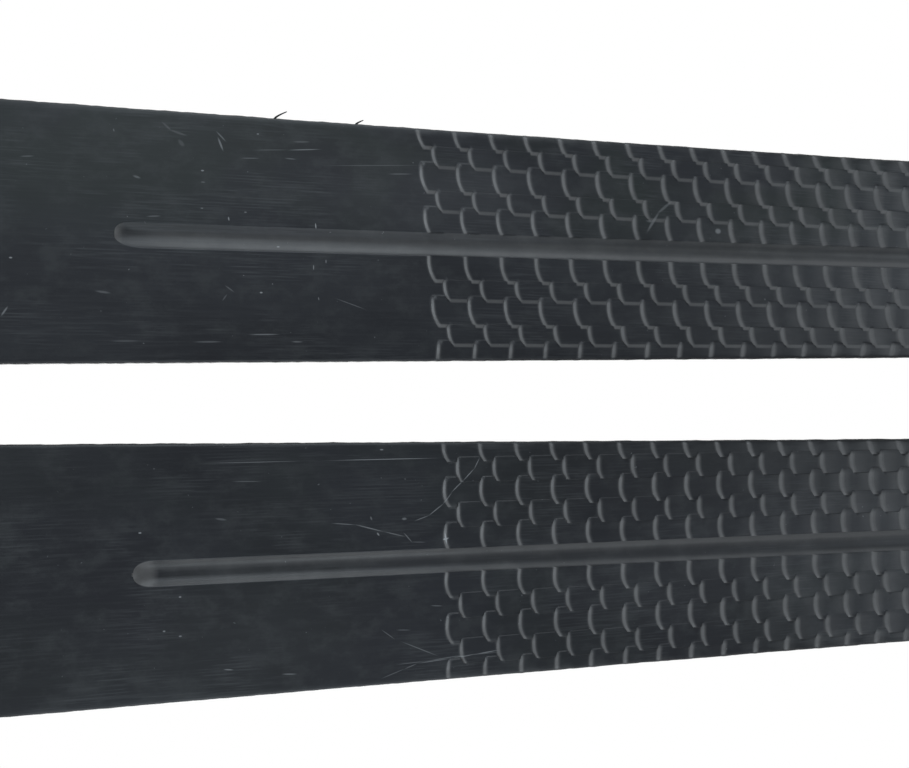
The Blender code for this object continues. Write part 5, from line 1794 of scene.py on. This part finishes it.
        corners = [(-half, zero), (half, zero), *edge, *one_ridge(1)]
        corners += [(zero + y, thick + rib) for y in (0.0066, 0, -0.0066)] + one_ridge(-1)
        corners += [(-y, z) for y, z in reversed(edge)]
        under = SHAPE.top(s) + self.clearance
        rings = np.stack([np.stack([SHAPE.local(s), y, under + z], -1) for y, z in corners], axis=1)
        title = self.side.named("rails" if name == "rail" else name)
        piece = Piece.swept(title, rings).moved(SHAPE.place(self.side))
        piece.combine("DIFFERENCE", *self.sinks((f"{name}_screw",)))
        self.dress(piece, "binding_plastic", f"{name}_plate")

    def build(self) -> None:
        """Makes and dresses the whole binding."""
        self.housing()
        self.lever()
        self.pin()
        self.claw()
        self.spring()
        self.flexor()
        self.plate("rail", self.rail_rear, self.rail_front)
        self.plate("heel", self.heel_rear, self.heel_front)
        self.screws()


@dataclass
class Studio:
    """The camera at the photograph's place, the lamps, the backdrop and the floor."""

    place: tuple[float, float, float] = (-0.35791, 0.00245, -0.15012)
    turn: tuple[float, float, float] = (-0.03556, -0.18643, -0.00692)
    focal: float = 850.0
    picture_width: float = 909.0
    sensor: float = 36.0

    def camera(self) -> None:
        """Sets up the camera."""
        data = bpy.data.cameras.new("camera")
        data.sensor_fit = "HORIZONTAL"
        data.sensor_width = self.sensor
        data.lens = self.sensor * self.focal / self.picture_width
        data.clip_start = 0.005
        data.clip_end = 50
        obj = bpy.data.objects.new("camera", data)
        bpy.context.scene.collection.objects.link(obj)
        turn = Vector(self.turn)
        seen = Matrix.Rotation(turn.length, 3, turn.normalized())
        flip = Matrix.Diagonal((1, -1, -1))
        obj.matrix_world = Matrix.Translation(self.place) @ (seen.transposed() @ flip).to_4x4()
        bpy.context.scene.camera = obj

    def lamp(self, name: str, spot: Point, aim: Point, size: float, power: float) -> None:
        """A square lamp that the camera doesn't see; the lamps below are a little cool."""
        data = bpy.data.lights.new(name, "AREA")
        data.size = size
        data.energy = power
        data.color = (1, 1, 1) if spot[2] > 0 else (0.84, 0.93, 1.0)
        obj = bpy.data.objects.new(name, data)
        obj.location = spot
        obj.rotation_euler = (Vector(aim) - Vector(spot)).to_track_quat("-Z", "Y").to_euler()
        obj.visible_camera = False
        bpy.context.scene.collection.objects.link(obj)

    def lamps(self) -> None:
        """Soft lamps above and below the floor."""
        middle, grip = (0, 0, 0), (-0.28, 0.0, 0.02)
        for name, spot, aim, size, power in (
            ("above_left", (-0.6, 1.5, 1.9), middle, 1.4, 26),
            ("above_right", (0.8, -1.6, 1.7), middle, 1.4, 18),
            ("below_tail", (-1.60, 0.0, -0.60), grip, 0.9, 12),
            ("below_tip", (1.10, 0.0, -0.60), grip, 0.9, 4),
            ("below_right", (-0.30, -0.95, -0.40), grip, 0.7, 3),
            ("below_left", (-0.30, 0.95, -0.40), grip, 0.7, 2.4),
            ("deep_right", (-0.40, -0.68, -0.80), grip, 0.6, 1.7),
            ("deep_left", (-0.40, 0.72, -0.80), grip, 0.6, 0.9),
        ):
            self.lamp(name, spot, aim, size, power)

    def world(self) -> None:
        """White behind the object, a soft grey room below it for what the base reflects."""
        world = bpy.data.worlds.new("studio")
        bpy.context.scene.world = world
        world.use_nodes = True
        nodes, links = world.node_tree.nodes, world.node_tree.links
        back = nodes["Background"]
        ray = nodes.new("ShaderNodeLightPath")
        place = nodes.new("ShaderNodeTexCoord")
        split = nodes.new("ShaderNodeSeparateXYZ")
        links.new(place.outputs["Generated"], split.inputs[0])
        height = nodes.new("ShaderNodeMapRange")
        levels = {"From Min": -0.35, "From Max": 0.15, "To Min": 0.11, "To Max": 0.85}
        for socket, level in levels.items():
            height.inputs[socket].default_value = level
        links.new(split.outputs["Z"], height.inputs["Value"])
        pick = nodes.new("ShaderNodeMix")
        links.new(ray.outputs["Is Camera Ray"], pick.inputs["Factor"])
        links.new(height.outputs[0], pick.inputs["A"])
        pick.inputs["B"].default_value = 1.0
        back.inputs["Color"].default_value = (1, 1, 1, 1)
        links.new(pick.outputs["Result"], back.inputs["Strength"])

    def floor(self) -> None:
        """A plain pale floor that is clear from below."""
        Piece.clear()
        bpy.ops.mesh.primitive_plane_add(size=8, location=(0, 0, -0.0006))
        floor = Piece.added("floor").obj
        paint = Paint("pale_floor", Roughness=0.8)
        grain = paint.noise((9, 9, 9), 4)
        paint.surface(paint.mix(grain, (0.80, 0.80, 0.79), (0.84, 0.84, 0.83)))
        clear = paint.node("ShaderNodeBsdfTransparent", {}, {}).outputs[0]
        back = paint.node("ShaderNodeNewGeometry", {}, {}).outputs["Backfacing"]
        blend = paint.node("ShaderNodeMixShader", {}, {0: Value(paint, back)})
        paint.links.new(paint.shader.outputs[0], blend.inputs[1])
        paint.links.new(clear, blend.inputs[2])
        paint.links.new(blend.outputs[0], paint.nodes["Material Output"].inputs["Surface"])
        floor.data.materials.append(paint.material)
        floor.visible_shadow = False
        floor.visible_diffuse = False
        floor.visible_glossy = False

    def build(self) -> None:
        """Sets up the whole studio."""
        self.camera()
        self.lamps()
        self.world()
        self.floor()
        bpy.context.scene.view_settings.view_transform = "Standard"


# Each base's wall, groove and crescent numbers below include painted light and shade.
BASES = {
    Side.RIGHT: RunningBase(
        side=Side.RIGHT,
        skew=0.07445,
        lit=1,
        lit_wall=0.95,
        dim_wall=0.16,
        lit_wall_highlight=1.0,
        sags=((0.18, 1.00), (0.06, 0.74)),
        apex=-0.15,
        overlaps=(0.3, 0.9),
        groove_depths=(0, 0, 0.10, 0.26, 0.48, 0.76, 0.96, 1, 0.84, 0.62, 0.45, 0.31, 0.17, 0, 0),
        groove_painted_light=(0, 0.05, 0.04, 0, -0.05, 0.08, 0.5, 0.62, 0.52, 0.72, 0.72, 0.6, 0.4, 0.1, 0),
        groove_later=(0, 0.1, 0.35, 0.38, 0.35, 0.2, 0.03, -0.14, 0.12, 0.3, 0.25, 0.05, 0, 0, 0),
        groove_from=561.0,
        spoon=(2.6, 6.0),
        crescent=1.7,
        burrs=((-361.4, 2.4), (-345.6, 1.5)),
        edge_lean=0.68,
    ),
    Side.LEFT: RunningBase(
        side=Side.LEFT,
        skew=0.01602,
        lit=-1,
        lit_wall=0.28,
        dim_wall=0.16,
        lit_wall_highlight=0.18,
        sags=((0.46, 0.98), (0.20, 0.66)),
        apex=-0.04,
        overlaps=(1.0, 1.0),
        groove_depths=(0, 0, 0.15, 0.33, 0.55, 0.82, 0.98, 1, 0.98, 0.85, 0.6, 0.36, 0.17, 0, 0),
        groove_painted_light=(
            0, 0.35, 0.85, 1.05, 0.98, 0.74, 0.38, 0.18, 0.12, 0.2, 0.5, 0.76, 0.72, 0.4, 0,
        ),
        groove_later=(0, 0, 0, 0.05, 0.15, 0.3, 0.12, 0.05, 0.05, 0, 0, 0, 0, 0, 0),
        groove_from=561.4,
        spoon=(3.6, 3.6),
        crescent=4.2,
    ),
}


def main() -> None:
    """Builds the studio and both skis, and reports each piece."""
    logging.basicConfig(level=logging.INFO, format="%(name)s: %(message)s")
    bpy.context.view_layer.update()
    Studio().build()
    for side in Side:
        BASES[side].build()
        SkiBody(side).build()
        Binding(side).build()


if __name__ == "__main__":
    main()
